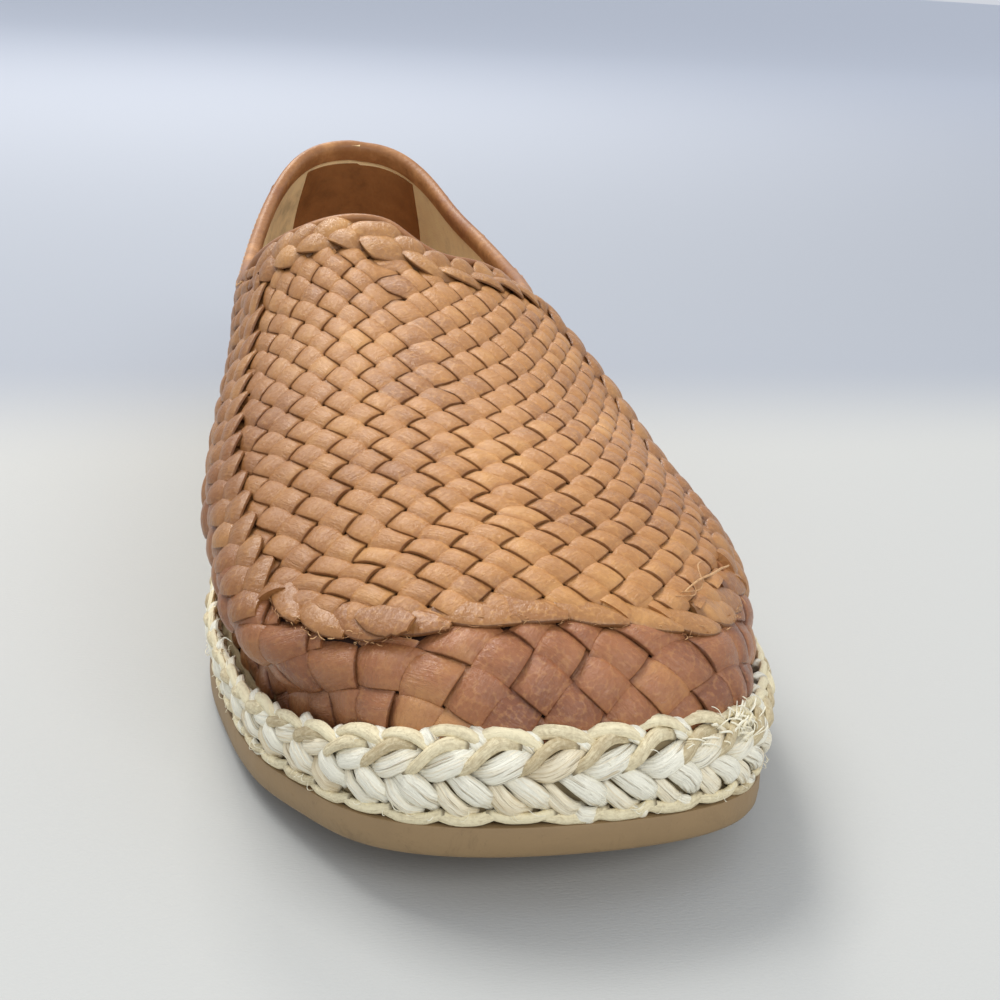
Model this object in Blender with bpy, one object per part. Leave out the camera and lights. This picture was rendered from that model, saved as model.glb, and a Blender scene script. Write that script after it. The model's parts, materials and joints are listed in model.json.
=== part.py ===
"""Left espadrille loafer: woven leather upper, plaited raffia foxing, rubber outsole.

Shoe coordinates are in millimetres: the station runs from the back of the heel to the toe,
x runs from the medial side (negative) to the lateral side, z is the height over the ground.
The toe points along -Y and the lateral side lies on +X.
"""
import math

import bmesh
import bpy
import numpy as np

MM = 0.001

# Sole
LENGTH = 266.0            # outsole, heel to toe
TOE_SPRING = 11.0         # lift of the sole under the tip of the toe
SPRING_FROM = 180.0       # station where the sole starts to lift
SPRING_POWER = 1.9
ARCH_CLEARANCE = 0.8      # hollow under the arch between heel and forefoot
EDGE_BEVEL = 0.8          # the bottom edge of the rubber
CORE_HEIGHT = 11.0        # midsole above the rubber's ledge
CORE_INSET = 4.1          # midsole side, in from the rubber's edge

# Foxing
FOXING_GAP = 0.2
FOXING_HEIGHT = 13.0
FOXING_INNER = 3.8        # inner face, in from the rubber's edge
FOXING_OUTER = -0.7       # middle of the plait, out over the rubber's edge
FOXING_RELIEF = 0.5       # leaves over and under
FOXING_LEAN = 0.55        # lean of a leaf, in column pitches

# Upper
UPPER_GAP = 0.2
WALL = 2.0
WEAVE_RELIEF = 0.9
FOOT_RISE = 2.4           # upright foot of the wall inside the foxing
THROAT_FOOT = 104.0       # foot station of the arch that forms the throat's edge
REACH_POWER = 2.5
BINDING_WIDTH = 4.0
BINDING_RELIEF = 0.6
SEAM_RELIEF = 1.7
SEAM_WIDTH = 3.2
THROAT_RELIEF = 1.8
APRON_LIFT = 0.5          # the apron lies over the toe band
BACKSTAY_HALF = 9.0
BACKSTAY_RELIEF = 0.8
EDGE_ROUND = 0.9

# Footbed
FOOTBED_GAP = 0.3
FOOTBED_THICKNESS = 2.4

# Mesh pitch
QUARTER_COLUMNS = 26
VAMP_COLUMNS = 39
BAND_ROWS = 10
APRON_ROWS = 10
INNER_BAND_ROWS = (0, 1, 4, 7, 10)
INNER_APRON_ROWS = (0, 3, 6, 10)

# Edge of the outsole
PLAN_COLUMNS = ("station", "centre", "half_width")
PLAN = np.array([
    (20, 0.0, 28.0),
    (45, -0.5, 33.0),
    (75, -1.0, 36.0),
    (105, -1.0, 38.5),
    (135, -0.2, 41.5),
    (165, -0.1, 46.6),
    (190, -0.4, 49.2),
    (212, -0.3, 47.4),
    (230, -0.7, 43.6),
    (246, -0.6, 36.6),
    (257, -0.2, 29.7),
])

# Thickness of the rubber's edge
RUBBER_COLUMNS = ("station", "thickness")
RUBBER = np.array([
    (0, 10.0),
    (60, 9.6),
    (110, 8.0),
    (150, 6.2),
    (190, 5.6),
    (266, 5.6),
])

# Line over the instep and the toe; behind the throat it is the top of the last
RIDGE_COLUMNS = ("station", "x", "z")
RIDGE = np.array([
    (38, -1.0, 93.0),
    (60, -4.0, 95.0),
    (85, -8.0, 94.0),
    (110, -12.0, 89.5),
    (128, -14.0, 84.5),
    (142, -14.5, 79.5),
    (155, -13.5, 73.0),
    (170, -12.0, 66.0),
    (190, -9.0, 59.0),
    (212, -6.0, 53.5),
    (232, -3.5, 48.5),
])

# Arches from the sole up to the ridge: n is the fullness of the arch, bulge the belly of the wall,
# reach the arch's swing towards the toe beside the ridge
ARCH_COLUMNS = (
    "foot", "top", "bow_lateral", "bow_medial", "n_lateral", "n_medial",
    "bulge_lateral", "bulge_medial", "belly_lateral", "belly_medial", "reach_lateral",
)
ARCH = np.array([
    (0, 38, 1.0, 1.0, 2.90, 2.90, 2.6, 2.6, 46, 46, 0.0),
    (30, 55, 1.2, 1.6, 2.22, 2.70, 2.0, 2.8, 48, 60, 0.0),
    (70, 100, 2.2, 3.0, 2.38, 2.75, 2.4, 3.8, 48, 70, 1.2),
    (104, 143, 5.2, 5.0, 1.86, 2.90, 3.4, 5.4, 48, 75, 7.5),
    (126, 154.5, 2.9, 3.6, 1.98, 2.80, 2.8, 6.0, 48, 72, 5.6),
    (150, 167, 1.8, 2.2, 1.95, 2.60, 3.0, 6.4, 48, 60, 1.6),
    (190, 191, 1.4, 1.4, 1.86, 2.42, 2.1, 6.9, 42, 48, 0.0),
    (208, 202, 1.35, 1.35, 2.02, 2.45, 2.1, 7.3, 41, 38, 0.0),
    (225, 212, 1.3, 1.3, 2.15, 2.50, 1.9, 8.0, 40, 26, 0.0),
    (238, 219, 1.2, 1.2, 2.18, 2.45, 1.9, 7.0, 38, 21, 0.0),
    (250, 225, 1.1, 1.1, 2.20, 2.15, 1.4, 3.6, 36, 28, 0.0),
    (266, 232, 1.0, 1.0, 2.20, 2.20, 1.0, 1.0, 36, 36, 0.0),
])

# Height of the topline, seen from the side
TOPLINE_COLUMNS = ("station", "lateral", "medial")
TOPLINE = np.array([
    (4, 81.4, 78.6),
    (20, 71.8, 74.8),
    (40, 64.1, 67.0),
    (60, 60.4, 61.5),
    (80, 58.3, 59.0),
    (96, 58.4, 58.6),
    (108, 59.7, 59.6),
    (120, 61.2, 62.0),
])

# The apron's edge, as a share of the arch's parameter, by the station of the foot
APRON_COLUMNS = ("foot", "lateral", "medial")
APRON = np.array([
    (104, 0.52, 0.50),
    (126, 0.50, 0.46),
    (150, 0.45, 0.43),
    (175, 0.40, 0.41),
    (200, 0.36, 0.38),
    (220, 0.34, 0.33),
    (240, 0.36, 0.30),
    (252, 0.41, 0.37),
    (260, 0.48, 0.50),
    (266, 0.59, 0.59),
])

COLOURS = {
    "upper": (0.42, 0.20, 0.09, 1.0),
    "braided_foxing": (0.72, 0.65, 0.50, 1.0),
    "outsole": (0.36, 0.26, 0.15, 1.0),
    "footbed": (0.40, 0.22, 0.11, 1.0),
}
ROUGHNESS = {"upper": 0.45, "braided_foxing": 0.6, "outsole": 0.5, "footbed": 0.7}

LATERAL = 1
MEDIAL = -1


def spline(table, column, x):
    """Smooth curve through a table's rows, straight beyond its ends."""
    xs = table[:, 0]
    ys = table[:, column]
    x = np.asarray(x, float)
    step = np.diff(xs)
    slope = np.diff(ys) / step
    tangent = np.empty_like(ys)
    tangent[1:-1] = (slope[:-1] * step[1:] + slope[1:] * step[:-1]) / (step[1:] + step[:-1])
    tangent[0] = 1.5 * slope[0] - 0.5 * tangent[1]
    tangent[-1] = 1.5 * slope[-1] - 0.5 * tangent[-2]
    i = np.clip(np.searchsorted(xs, x) - 1, 0, len(xs) - 2)
    t = (x - xs[i]) / step[i]
    value = (
        ys[i] * (2 * t**3 - 3 * t**2 + 1)
        + step[i] * tangent[i] * (t**3 - 2 * t**2 + t)
        + ys[i + 1] * (3 * t**2 - 2 * t**3)
        + step[i] * tangent[i + 1] * (t**3 - t**2)
    )
    value = np.where(x < xs[0], ys[0] + tangent[0] * (x - xs[0]), value)
    return np.where(x > xs[-1], ys[-1] + tangent[-1] * (x - xs[-1]), value)


def station(theta):
    """Station of an angle along the outline, 0 at the heel and pi at the toe."""
    return LENGTH / 2 * (1 - np.cos(theta))


def angle(at):
    return np.arccos(1 - 2 * np.asarray(at, float) / LENGTH)


def sole_edge(theta, side):
    rows = angle(PLAN[:, 0])
    fullness = np.stack([rows, PLAN[:, 2] / np.sin(rows)], axis=1)
    at = station(theta)
    x = spline(PLAN, 1, np.clip(at, 3, LENGTH - 3)) + side * spline(fullness, 1, theta) * np.sin(theta)
    return at, x


def outline(theta, side, inset=0.0):
    """Point of the sole's edge, moved inwards by the inset: station and x."""
    at, x = sole_edge(theta, side)
    at_0, x_0 = sole_edge(theta - 0.001, side)
    at_1, x_1 = sole_edge(theta + 0.001, side)
    run = np.hypot(at_1 - at_0, x_1 - x_0)
    return at + side * (x_1 - x_0) / run * inset, x - side * (at_1 - at_0) / run * inset


def ground(at):
    """Height of the sole's underside."""
    lift = np.clip((at - SPRING_FROM) / (LENGTH - SPRING_FROM), 0, None)
    hollow = np.clip((at - 75.0) / (155.0 - 75.0), 0, 1)
    return TOE_SPRING * lift**SPRING_POWER + ARCH_CLEARANCE * np.sin(math.pi * hollow) ** 2


def ledge(at):
    """Height of the rubber's upper edge."""
    lift = np.clip((at - SPRING_FROM) / (LENGTH - SPRING_FROM), 0, None)
    return TOE_SPRING * lift**SPRING_POWER + spline(RUBBER, 1, at)


def core_top(at):
    return ledge(at) + CORE_HEIGHT


def last(theta, s, side):
    """Point of the last: theta along the outline, s from the sole (0) to the ridge (1)."""
    theta = np.asarray(theta, float)
    s = np.asarray(s, float)
    foot = station(theta)
    at_foot, x_foot = outline(theta, side, CORE_INSET)
    top = spline(ARCH, 1, foot)
    other = 0 if side == LATERAL else 1
    bow = spline(ARCH, 2 + other, foot)
    n = spline(ARCH, 4 + other, foot)
    bulge = spline(ARCH, 6 + other, foot)
    belly = spline(ARCH, 8 + other, foot)
    across = 1 - np.clip(np.cos(math.pi / 2 * s), 0, 1) ** (2 / n)
    rise = np.clip(np.sin(math.pi / 2 * s), 0, 1) ** (2 / n)
    along = 1 - (1 - across) ** bow
    at = at_foot + (top - at_foot) * along
    if side == LATERAL:
        at = at + spline(ARCH, 10, foot) * np.sin(math.pi * across**REACH_POWER) ** 2
    x = x_foot + (spline(RIDGE, 1, top) - x_foot) * across
    z_foot = core_top(at_foot) + UPPER_GAP
    z_ridge = spline(RIDGE, 2, at)
    z = z_ridge - (z_ridge - z_foot) * (1 - rise)
    height = np.clip((z - z_foot - FOOT_RISE) / belly, 0, 1)
    swell = bulge * np.sin(math.pi * height**0.85) ** 2
    at_out, x_out = outline(theta, side, CORE_INSET - 1.0)
    return np.stack([at + (at_out - at_foot) * swell, x + (x_out - x_foot) * swell, z], axis=-1)


def last_normal(theta, s, side):
    """Outward normal of the last."""
    theta = np.clip(theta, 0.012, math.pi - 0.012)
    s = np.clip(s, 0.012, 0.985)
    along = last(theta + 0.004, s, side) - last(theta - 0.004, s, side)
    up = last(theta, s + 0.004, side) - last(theta, s - 0.004, side)
    normal = side * np.cross(up, along)
    return normal / np.linalg.norm(normal, axis=-1, keepdims=True)


def lateral_arc():
    """Arc length along the lateral foot line, with the angles it was sampled at."""
    theta = np.linspace(0, math.pi, 2001)
    at, x = outline(theta, LATERAL, CORE_INSET)
    arc = np.concatenate([[0], np.cumsum(np.hypot(np.diff(at), np.diff(x)))])
    return theta, arc


def column_angles():
    """Angles of the mesh columns: the backstay's step, then even spaces to throat and toe."""
    theta, arc = lateral_arc()
    throat = np.interp(angle(THROAT_FOOT), theta, arc)
    backstay = [0.0, BACKSTAY_HALF / 2, BACKSTAY_HALF]
    quarter = np.linspace(BACKSTAY_HALF + 0.6, throat, QUARTER_COLUMNS - 2)
    vamp = np.linspace(throat, arc[-1], VAMP_COLUMNS + 1)[1:]
    return np.interp(np.concatenate([backstay, quarter, vamp]), arc, theta)


THETA = column_angles()
THROAT_COLUMN = QUARTER_COLUMNS
TOE_COLUMN = len(THETA) - 1


def arch_lengths(column, side):
    """Arc length up one arch of the last."""
    s = np.linspace(0, 1, 241)
    points = last(np.full(241, THETA[column]), s, side)
    steps = np.linalg.norm(np.diff(points, axis=0), axis=1)
    return s, points, np.concatenate([[0], np.cumsum(steps)])


def band_top(column, side, s, points):
    """Parameter of the topline on the quarters, of the apron's edge on the vamp."""
    foot = station(THETA[column])
    if column <= THROAT_COLUMN:
        over = points[:, 2] - spline(TOPLINE, 1 if side == LATERAL else 2, points[:, 0])
        k = int(np.argmax(over > 0))
        share = over[k - 1] / (over[k - 1] - over[k])
        return s[k - 1] + share * (s[k] - s[k - 1])
    return float(spline(APRON, 1 if side == LATERAL else 2, foot))


def smooth_band_tops(side):
    """The topline runs over into the apron's edge."""
    tops = []
    for column in range(TOE_COLUMN + 1):
        s, points, _ = arch_lengths(column, side)
        tops.append(band_top(column, side, s, points))
    tops = np.array(tops)
    for _ in range(3):
        near = slice(THROAT_COLUMN - 3, THROAT_COLUMN + 4)
        mean = (tops[:-2] + tops[1:-1] * 2 + tops[2:]) / 4
        tops[near] = mean[THROAT_COLUMN - 4:THROAT_COLUMN + 3]
    return tops


def band_rows(length, width):
    """Arc lengths of the band's rows; the last three rows shape the seam or the binding."""
    even = np.linspace(FOOT_RISE, length - width - 0.6, BAND_ROWS - 2)
    return np.concatenate([[0], even, [length - width, length]])


def apron_rows(start, end):
    """Arc lengths of the apron's rows above the seam."""
    first = start + min(SEAM_WIDTH, 0.3 * (end - start))
    return np.concatenate([[start], np.linspace(first, end, APRON_ROWS)])


def weave(column, row, pitch):
    """Relief of the crossing strips: raised and sunk knots, two rows tall where rows are close."""
    if pitch > 2.9:
        knot = math.cos(math.pi * column) * math.cos(math.pi * row)
    else:
        knot = math.cos(math.pi * column) * math.cos(math.pi / 2 * row)
    return WEAVE_RELIEF * (0.5 + 0.5 * knot)


def band_relief(column, row, pitch):
    vamp = column > THROAT_COLUMN
    knot = 0.5 + 0.5 * math.cos(math.pi * column)
    if row == BAND_ROWS and vamp:
        return SEAM_RELIEF - 0.6 * knot
    if row >= BAND_ROWS - 1:
        return SEAM_RELIEF * 0.5 if vamp else BINDING_RELIEF
    if row == BAND_ROWS - 2 or row <= 1:
        return 0.0
    if column <= 2:
        return BACKSTAY_RELIEF
    if column == 3:
        return 0.0
    return weave(column, row, pitch)


def apron_relief(column, row, pitch, room):
    """Relief above the seam; it dies out where the arches crowd together."""
    knot = math.cos(math.pi * (column + row))
    if column == THROAT_COLUMN:
        return THROAT_RELIEF * 0.6
    if column <= THROAT_COLUMN + 2:
        return THROAT_RELIEF - 0.7 * (0.5 + 0.5 * knot)
    if row == 1:
        return APRON_LIFT * 0.6
    fade = float(np.clip((min(pitch, room) - 0.8) / 2.4, 0, 1))
    return APRON_LIFT + WEAVE_RELIEF * fade * (0.5 + 0.5 * knot)


class Shell:
    """Collects points and faces of one closed mesh."""

    def __init__(self):
        self.points = []
        self.faces = []

    def add(self, point):
        self.points.append(point)
        return len(self.points) - 1

    def quad(self, a, b, c, d):
        corners = []
        for corner in (a, b, c, d):
            if corner not in corners:
                corners.append(corner)
        if len(corners) > 2:
            self.faces.append(corners)

    def diamond(self, a, b, c, d, high):
        """Quad split along its low diagonal, so that raised corners become knots."""
        if len({a, b, c, d}) < 4:
            self.quad(a, b, c, d)
        elif high:
            self.faces.append([a, b, d])
            self.faces.append([b, c, d])
        else:
            self.faces.append([a, b, c])
            self.faces.append([a, c, d])

    def ribbon(self, one, two, closed=True):
        """Band of quads between two rows of the same length."""
        last_index = len(one) if closed else len(one) - 1
        for i in range(last_index):
            j = (i + 1) % len(one)
            self.quad(one[i], one[j], two[j], two[i])

    def zip_rows(self, one, two):
        """Band of triangles between two open rows of different lengths."""
        i = 0
        j = 0
        while i < len(one) - 1 or j < len(two) - 1:
            share_one = (i + 1) / (len(one) - 1) if i < len(one) - 1 else 2.0
            share_two = (j + 1) / (len(two) - 1) if j < len(two) - 1 else 2.0
            if share_one <= share_two:
                self.faces.append([one[i], one[i + 1], two[j]])
                i += 1
            else:
                self.faces.append([one[i], two[j + 1], two[j]])
                j += 1


def make_object(name, shell):
    """Mesh object in metres with its own material."""
    points = np.array(shell.points, float)
    world = np.stack([points[:, 1], LENGTH / 2 - points[:, 0], points[:, 2]], axis=1) * MM
    mesh = bpy.data.meshes.new(name)
    mesh.from_pydata(world.tolist(), [], shell.faces)
    bm = bmesh.new()
    bm.from_mesh(mesh)
    bmesh.ops.recalc_face_normals(bm, faces=bm.faces)
    for face in bm.faces:
        face.smooth = True
    for edge in bm.edges:
        edge.smooth = edge.calc_face_angle(0.0) < math.radians(38)
    bm.to_mesh(mesh)
    bm.free()
    material = bpy.data.materials.new(name)
    material.use_nodes = True
    shader = material.node_tree.nodes["Principled BSDF"]
    shader.inputs["Base Color"].default_value = COLOURS[name]
    shader.inputs["Roughness"].default_value = ROUGHNESS[name]
    material.diffuse_color = COLOURS[name]
    mesh.materials.append(material)
    obj = bpy.data.objects.new(name, mesh)
    bpy.context.scene.collection.objects.link(obj)
    return obj


def ring(shell, inset, height):
    """Closed loop of points around the sole, heel, lateral side, toe, medial side."""
    loop = []
    for theta in THETA:
        at, x = outline(theta, LATERAL, inset)
        loop.append(shell.add((at, x, float(height(at)))))
    for theta in THETA[-2:0:-1]:
        at, x = outline(theta, MEDIAL, inset)
        loop.append(shell.add((at, x, float(height(at)))))
    return loop


def cap(shell, loop):
    """Closes a loop with cross strips from the lateral to the medial side."""
    count = len(loop)
    for i in range(TOE_COLUMN):
        shell.quad(loop[i], loop[i + 1], loop[(count - i - 1) % count], loop[(count - i) % count])


def stack_loops(shell, loops):
    for one, two in zip(loops, loops[1:]):
        shell.ribbon(one, two)


def build_outsole():
    shell = Shell()
    loops = [
        ring(shell, EDGE_BEVEL, ground),
        ring(shell, 0.0, lambda at: ground(at) + EDGE_BEVEL),
        ring(shell, 0.0, lambda at: ledge(at) - 0.4),
        ring(shell, 0.4, ledge),
        ring(shell, CORE_INSET, ledge),
        ring(shell, CORE_INSET, core_top),
    ]
    stack_loops(shell, loops)
    cap(shell, loops[0])
    cap(shell, loops[-1])
    return make_object("outsole", shell)


def leaf_ring(shell, inset, rise, lean):
    """Loop of a plait row: leaves alternate over and under and lean along the edge."""
    shift = lean * np.gradient(THETA)
    loop = []
    for i, theta in enumerate(THETA):
        over = FOXING_RELIEF if i % 2 else -FOXING_RELIEF
        turn = 0.0 if i in (0, TOE_COLUMN) else shift[i]
        at, x = outline(theta + turn, LATERAL, inset - over)
        loop.append(shell.add((at, x, float(ledge(at)) + rise)))
    for i in range(TOE_COLUMN - 1, 0, -1):
        over = FOXING_RELIEF if i % 2 else -FOXING_RELIEF
        at, x = outline(THETA[i] - shift[i], MEDIAL, inset - over)
        loop.append(shell.add((at, x, float(ledge(at)) + rise)))
    return loop


def build_foxing():
    shell = Shell()
    base = FOXING_GAP
    top = FOXING_GAP + FOXING_HEIGHT
    loops = [
        ring(shell, FOXING_INNER, lambda at: ledge(at) + base),
        ring(shell, FOXING_OUTER + 1.3, lambda at: ledge(at) + base),
        leaf_ring(shell, FOXING_OUTER, base + 0.27 * FOXING_HEIGHT, -FOXING_LEAN),
        ring(shell, FOXING_OUTER + 0.9, lambda at: ledge(at) + base + 0.5 * FOXING_HEIGHT),
        leaf_ring(shell, FOXING_OUTER, base + 0.74 * FOXING_HEIGHT, -FOXING_LEAN),
        ring(shell, FOXING_OUTER + 1.5, lambda at: ledge(at) + top),
        ring(shell, FOXING_INNER, lambda at: ledge(at) + top - 0.4),
    ]
    stack_loops(shell, loops + loops[:1])
    return make_object("braided_foxing", shell)


def build_footbed():
    shell = Shell()
    inset = CORE_INSET + WALL + FOOTBED_GAP
    top = FOOTBED_GAP + FOOTBED_THICKNESS
    loops = [
        ring(shell, inset, lambda at: core_top(at) + FOOTBED_GAP),
        ring(shell, inset + 0.1, lambda at: core_top(at) + top - 0.7),
        ring(shell, inset + 0.9, lambda at: core_top(at) + top),
    ]
    stack_loops(shell, loops)
    cap(shell, loops[0])
    cap(shell, loops[-1])
    return make_object("footbed", shell)


class Upper:
    """The upper's wall: an outer skin with relief and an inner skin on the same columns."""

    def __init__(self):
        self.shell = Shell()
        self.outer = {}
        self.inner = {}
        self.rim = {}
        for side in (LATERAL, MEDIAL):
            tops = smooth_band_tops(side)
            for column in range(TOE_COLUMN + 1):
                self.fill_column(column, side, tops[column])

    def shared(self, column, side, row):
        """Key of a point; the poles and the ridge belong to both sides."""
        pole = column in (0, TOE_COLUMN)
        ridge = row == BAND_ROWS + APRON_ROWS
        return (column, 0 if pole or ridge else side, row)

    def fill_column(self, column, side, top):
        s, _, arc = arch_lengths(column, side)
        length = float(np.interp(top, s, arc))
        blend = np.clip((column - THROAT_COLUMN + 2) / 4, 0, 1)
        width = BINDING_WIDTH + (1.4 - BINDING_WIDTH) * blend
        rows = list(band_rows(length, width))
        pitch = rows[3] - rows[2]
        if column >= THROAT_COLUMN:
            rows += list(apron_rows(length, arc[-1]))[1:]
        for row, at in enumerate(rows):
            key = self.shared(column, side, row)
            if key in self.outer:
                continue
            share = float(np.interp(at, arc, s))
            point = last(THETA[column], share, side)
            normal = self.normal_at(column, share, side, row)
            if row <= BAND_ROWS:
                relief = band_relief(column, row, pitch)
            else:
                gap = rows[row] - rows[row - 1]
                room = self.room(column, share, side)
                relief = apron_relief(column, row - BAND_ROWS, gap, room)
            if row == BAND_ROWS and column == THROAT_COLUMN:
                relief = THROAT_RELIEF * 0.6
            self.outer[key] = self.shell.add(point + normal * relief)
            if self.inside_row(row):
                self.inner[key] = self.shell.add(self.inner_point(point, normal, row))
            if self.on_rim(column, row):
                self.rim[key] = self.shell.add(self.rim_point(column, side, share, point, normal))

    def room(self, column, share, side):
        """Distance to the next arch."""
        other = THETA[column - 1]
        return float(np.linalg.norm(last(THETA[column], share, side) - last(other, share, side)))

    def normal_at(self, column, share, side, row):
        normal = last_normal(THETA[column], share, side)
        if column in (0, TOE_COLUMN) or row == BAND_ROWS + APRON_ROWS:
            other = last_normal(THETA[column], share, -side)
            normal = normal + other
        if row == 0:
            normal = normal * (1, 1, 0)
        return normal / np.linalg.norm(normal)

    def inside_row(self, row):
        if row <= BAND_ROWS:
            return row in INNER_BAND_ROWS
        return row - BAND_ROWS in INNER_APRON_ROWS

    def on_rim(self, column, row):
        return (column <= THROAT_COLUMN and row == BAND_ROWS) or (column == THROAT_COLUMN and row > BAND_ROWS)

    def inner_point(self, point, normal, row):
        inner = point - normal * WALL
        if row == 0:
            inner[2] = point[2]
        return inner

    def rim_point(self, column, side, share, point, normal):
        """Crown of the rounded edge, half way through the wall."""
        theta = THETA[column]
        up = last(theta, min(share + 0.01, 1.0), side) - last(theta, min(share, 0.99), side)
        if column == THROAT_COLUMN:
            back = last(theta - 0.02, share, side) - last(theta, share, side)
            lean = np.clip((share - 0.5) / 0.1, 0, 1)
            up = up / np.linalg.norm(up) * (1 - lean) + back / np.linalg.norm(back) * (0.6 + 0.4 * lean)
        return point - normal * (WALL / 2 - 0.4) + up / np.linalg.norm(up) * EDGE_ROUND

    def skin(self, store, side, rows, columns, relief):
        for column in columns:
            for low, high in zip(rows, rows[1:]):
                a = store[self.shared(column, side, low)]
                b = store[self.shared(column + 1, side, low)]
                c = store[self.shared(column + 1, side, high)]
                d = store[self.shared(column, side, high)]
                if relief:
                    self.shell.diamond(a, b, c, d, (column + low) % 2 == 0)
                else:
                    self.shell.quad(a, b, c, d)

    def edge_keys(self, side, inner):
        """Keys along the opening on one side, from the heel to the ridge."""
        rows = INNER_APRON_ROWS if inner else range(APRON_ROWS + 1)
        keys = [self.shared(column, side, BAND_ROWS) for column in range(THROAT_COLUMN)]
        throat = [self.shared(THROAT_COLUMN, side, BAND_ROWS + row) for row in rows]
        return keys, throat

    def build(self):
        shell = self.shell
        top = BAND_ROWS + APRON_ROWS
        inner_apron = [BAND_ROWS + row for row in INNER_APRON_ROWS]
        for side in (LATERAL, MEDIAL):
            everywhere = range(TOE_COLUMN)
            vamp = range(THROAT_COLUMN, TOE_COLUMN)
            self.skin(self.outer, side, list(range(BAND_ROWS + 1)), everywhere, True)
            self.skin(self.outer, side, list(range(BAND_ROWS, top + 1)), vamp, True)
            self.skin(self.inner, side, list(INNER_BAND_ROWS), everywhere, False)
            self.skin(self.inner, side, inner_apron, vamp, False)
            quarter, throat = self.edge_keys(side, False)
            _, inner_throat = self.edge_keys(side, True)
            line = quarter + throat[:1]
            outer = [self.outer[key] for key in line]
            crown = [self.rim[key] for key in line]
            inner = [self.inner[key] for key in line]
            shell.ribbon(outer, crown, closed=False)
            shell.ribbon(crown, inner, closed=False)
            shell.ribbon([self.outer[key] for key in throat], [self.rim[key] for key in throat], closed=False)
            shell.zip_rows([self.rim[key] for key in throat], [self.inner[key] for key in inner_throat])
            foot = [self.shared(column, side, 0) for column in range(TOE_COLUMN + 1)]
            shell.ribbon([self.outer[key] for key in foot], [self.inner[key] for key in foot], closed=False)
        return make_object("upper", shell)


def centre_objects(objects):
    """Puts the middle of the bounding box over the origin and the sole on the ground."""
    corners = np.array([vertex.co[:] for obj in objects for vertex in obj.data.vertices])
    low = corners.min(axis=0)
    high = corners.max(axis=0)
    shift = np.array([(low[0] + high[0]) / 2, (low[1] + high[1]) / 2, low[2]])
    for obj in objects:
        for vertex in obj.data.vertices:
            vertex.co = [value - move for value, move in zip(vertex.co, shift)]


def main():
    for obj in list(bpy.data.objects):
        bpy.data.objects.remove(obj, do_unlink=True)
    objects = [build_outsole(), build_foxing(), Upper().build(), build_footbed()]
    centre_objects(objects)


main()
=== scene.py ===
"""Left espadrille loafer: the finish of every piece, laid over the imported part's solids.

Shoe coordinates are in millimetres: the station runs from the back of the heel to the toe,
x runs from the medial side (negative) to the lateral side, z is the height over the ground.
The toe points along -Y and the lateral side lies on +X.
"""
import json
import math

import bmesh
import bpy
import numpy as np
from mathutils import Matrix, Vector

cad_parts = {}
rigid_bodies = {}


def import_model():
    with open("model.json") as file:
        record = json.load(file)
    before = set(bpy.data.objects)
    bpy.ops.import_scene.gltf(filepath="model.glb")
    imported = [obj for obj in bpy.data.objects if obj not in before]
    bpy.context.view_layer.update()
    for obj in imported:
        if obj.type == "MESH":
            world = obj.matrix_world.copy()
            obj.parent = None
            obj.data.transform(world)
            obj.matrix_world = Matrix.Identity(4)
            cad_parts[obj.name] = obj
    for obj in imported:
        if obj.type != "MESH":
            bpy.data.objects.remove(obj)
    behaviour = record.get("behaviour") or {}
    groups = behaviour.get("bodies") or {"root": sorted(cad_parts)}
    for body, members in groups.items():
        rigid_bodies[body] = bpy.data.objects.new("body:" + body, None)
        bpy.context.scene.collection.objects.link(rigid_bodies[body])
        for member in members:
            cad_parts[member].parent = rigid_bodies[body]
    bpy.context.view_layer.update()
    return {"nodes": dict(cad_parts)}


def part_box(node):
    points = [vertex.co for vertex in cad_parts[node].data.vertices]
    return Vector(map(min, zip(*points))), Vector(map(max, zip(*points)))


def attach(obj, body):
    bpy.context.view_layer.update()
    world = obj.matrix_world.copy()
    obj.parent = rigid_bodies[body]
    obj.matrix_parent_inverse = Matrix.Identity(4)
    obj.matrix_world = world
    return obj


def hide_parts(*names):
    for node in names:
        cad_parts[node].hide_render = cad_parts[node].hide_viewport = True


bl_info = {
    "name": "Espadrille Loafer",
    "version": (1, 0, 0),
    "blender": (4, 5, 0),
    "location": "View3D > Sidebar > Shoe",
    "description": "Woven leather upper, raffia plait and rubber sole of an espadrille loafer",
    "category": "Add Mesh",
}

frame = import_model()

MM = 0.001
TINY = 1e-9
BODY = "root"
LATERAL = 1
MEDIAL = -1

# Sole and last, the same measures as the solids
LENGTH = 266.0
TOE_SPRING = 11.0
SPRING_FROM = 180.0
SPRING_POWER = 1.9
ARCH_CLEARANCE = 0.8
ARCH_FROM = 75.0
ARCH_TO = 155.0
PLAN_END = 3.0
CORE_HEIGHT = 11.0
CORE_INSET = 4.1
UPPER_GAP = 0.2
FOOT_RISE = 2.4
THROAT_FOOT = 104.0
REACH_POWER = 2.5
BULGE_POWER = 0.85
PLAIT_HEIGHT = 13.0
BACKSTAY_HALF = 9.0
BACKSTAY_STEP = 0.6
QUARTER_COLUMNS = 24
VAMP_COLUMNS = 40

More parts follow.
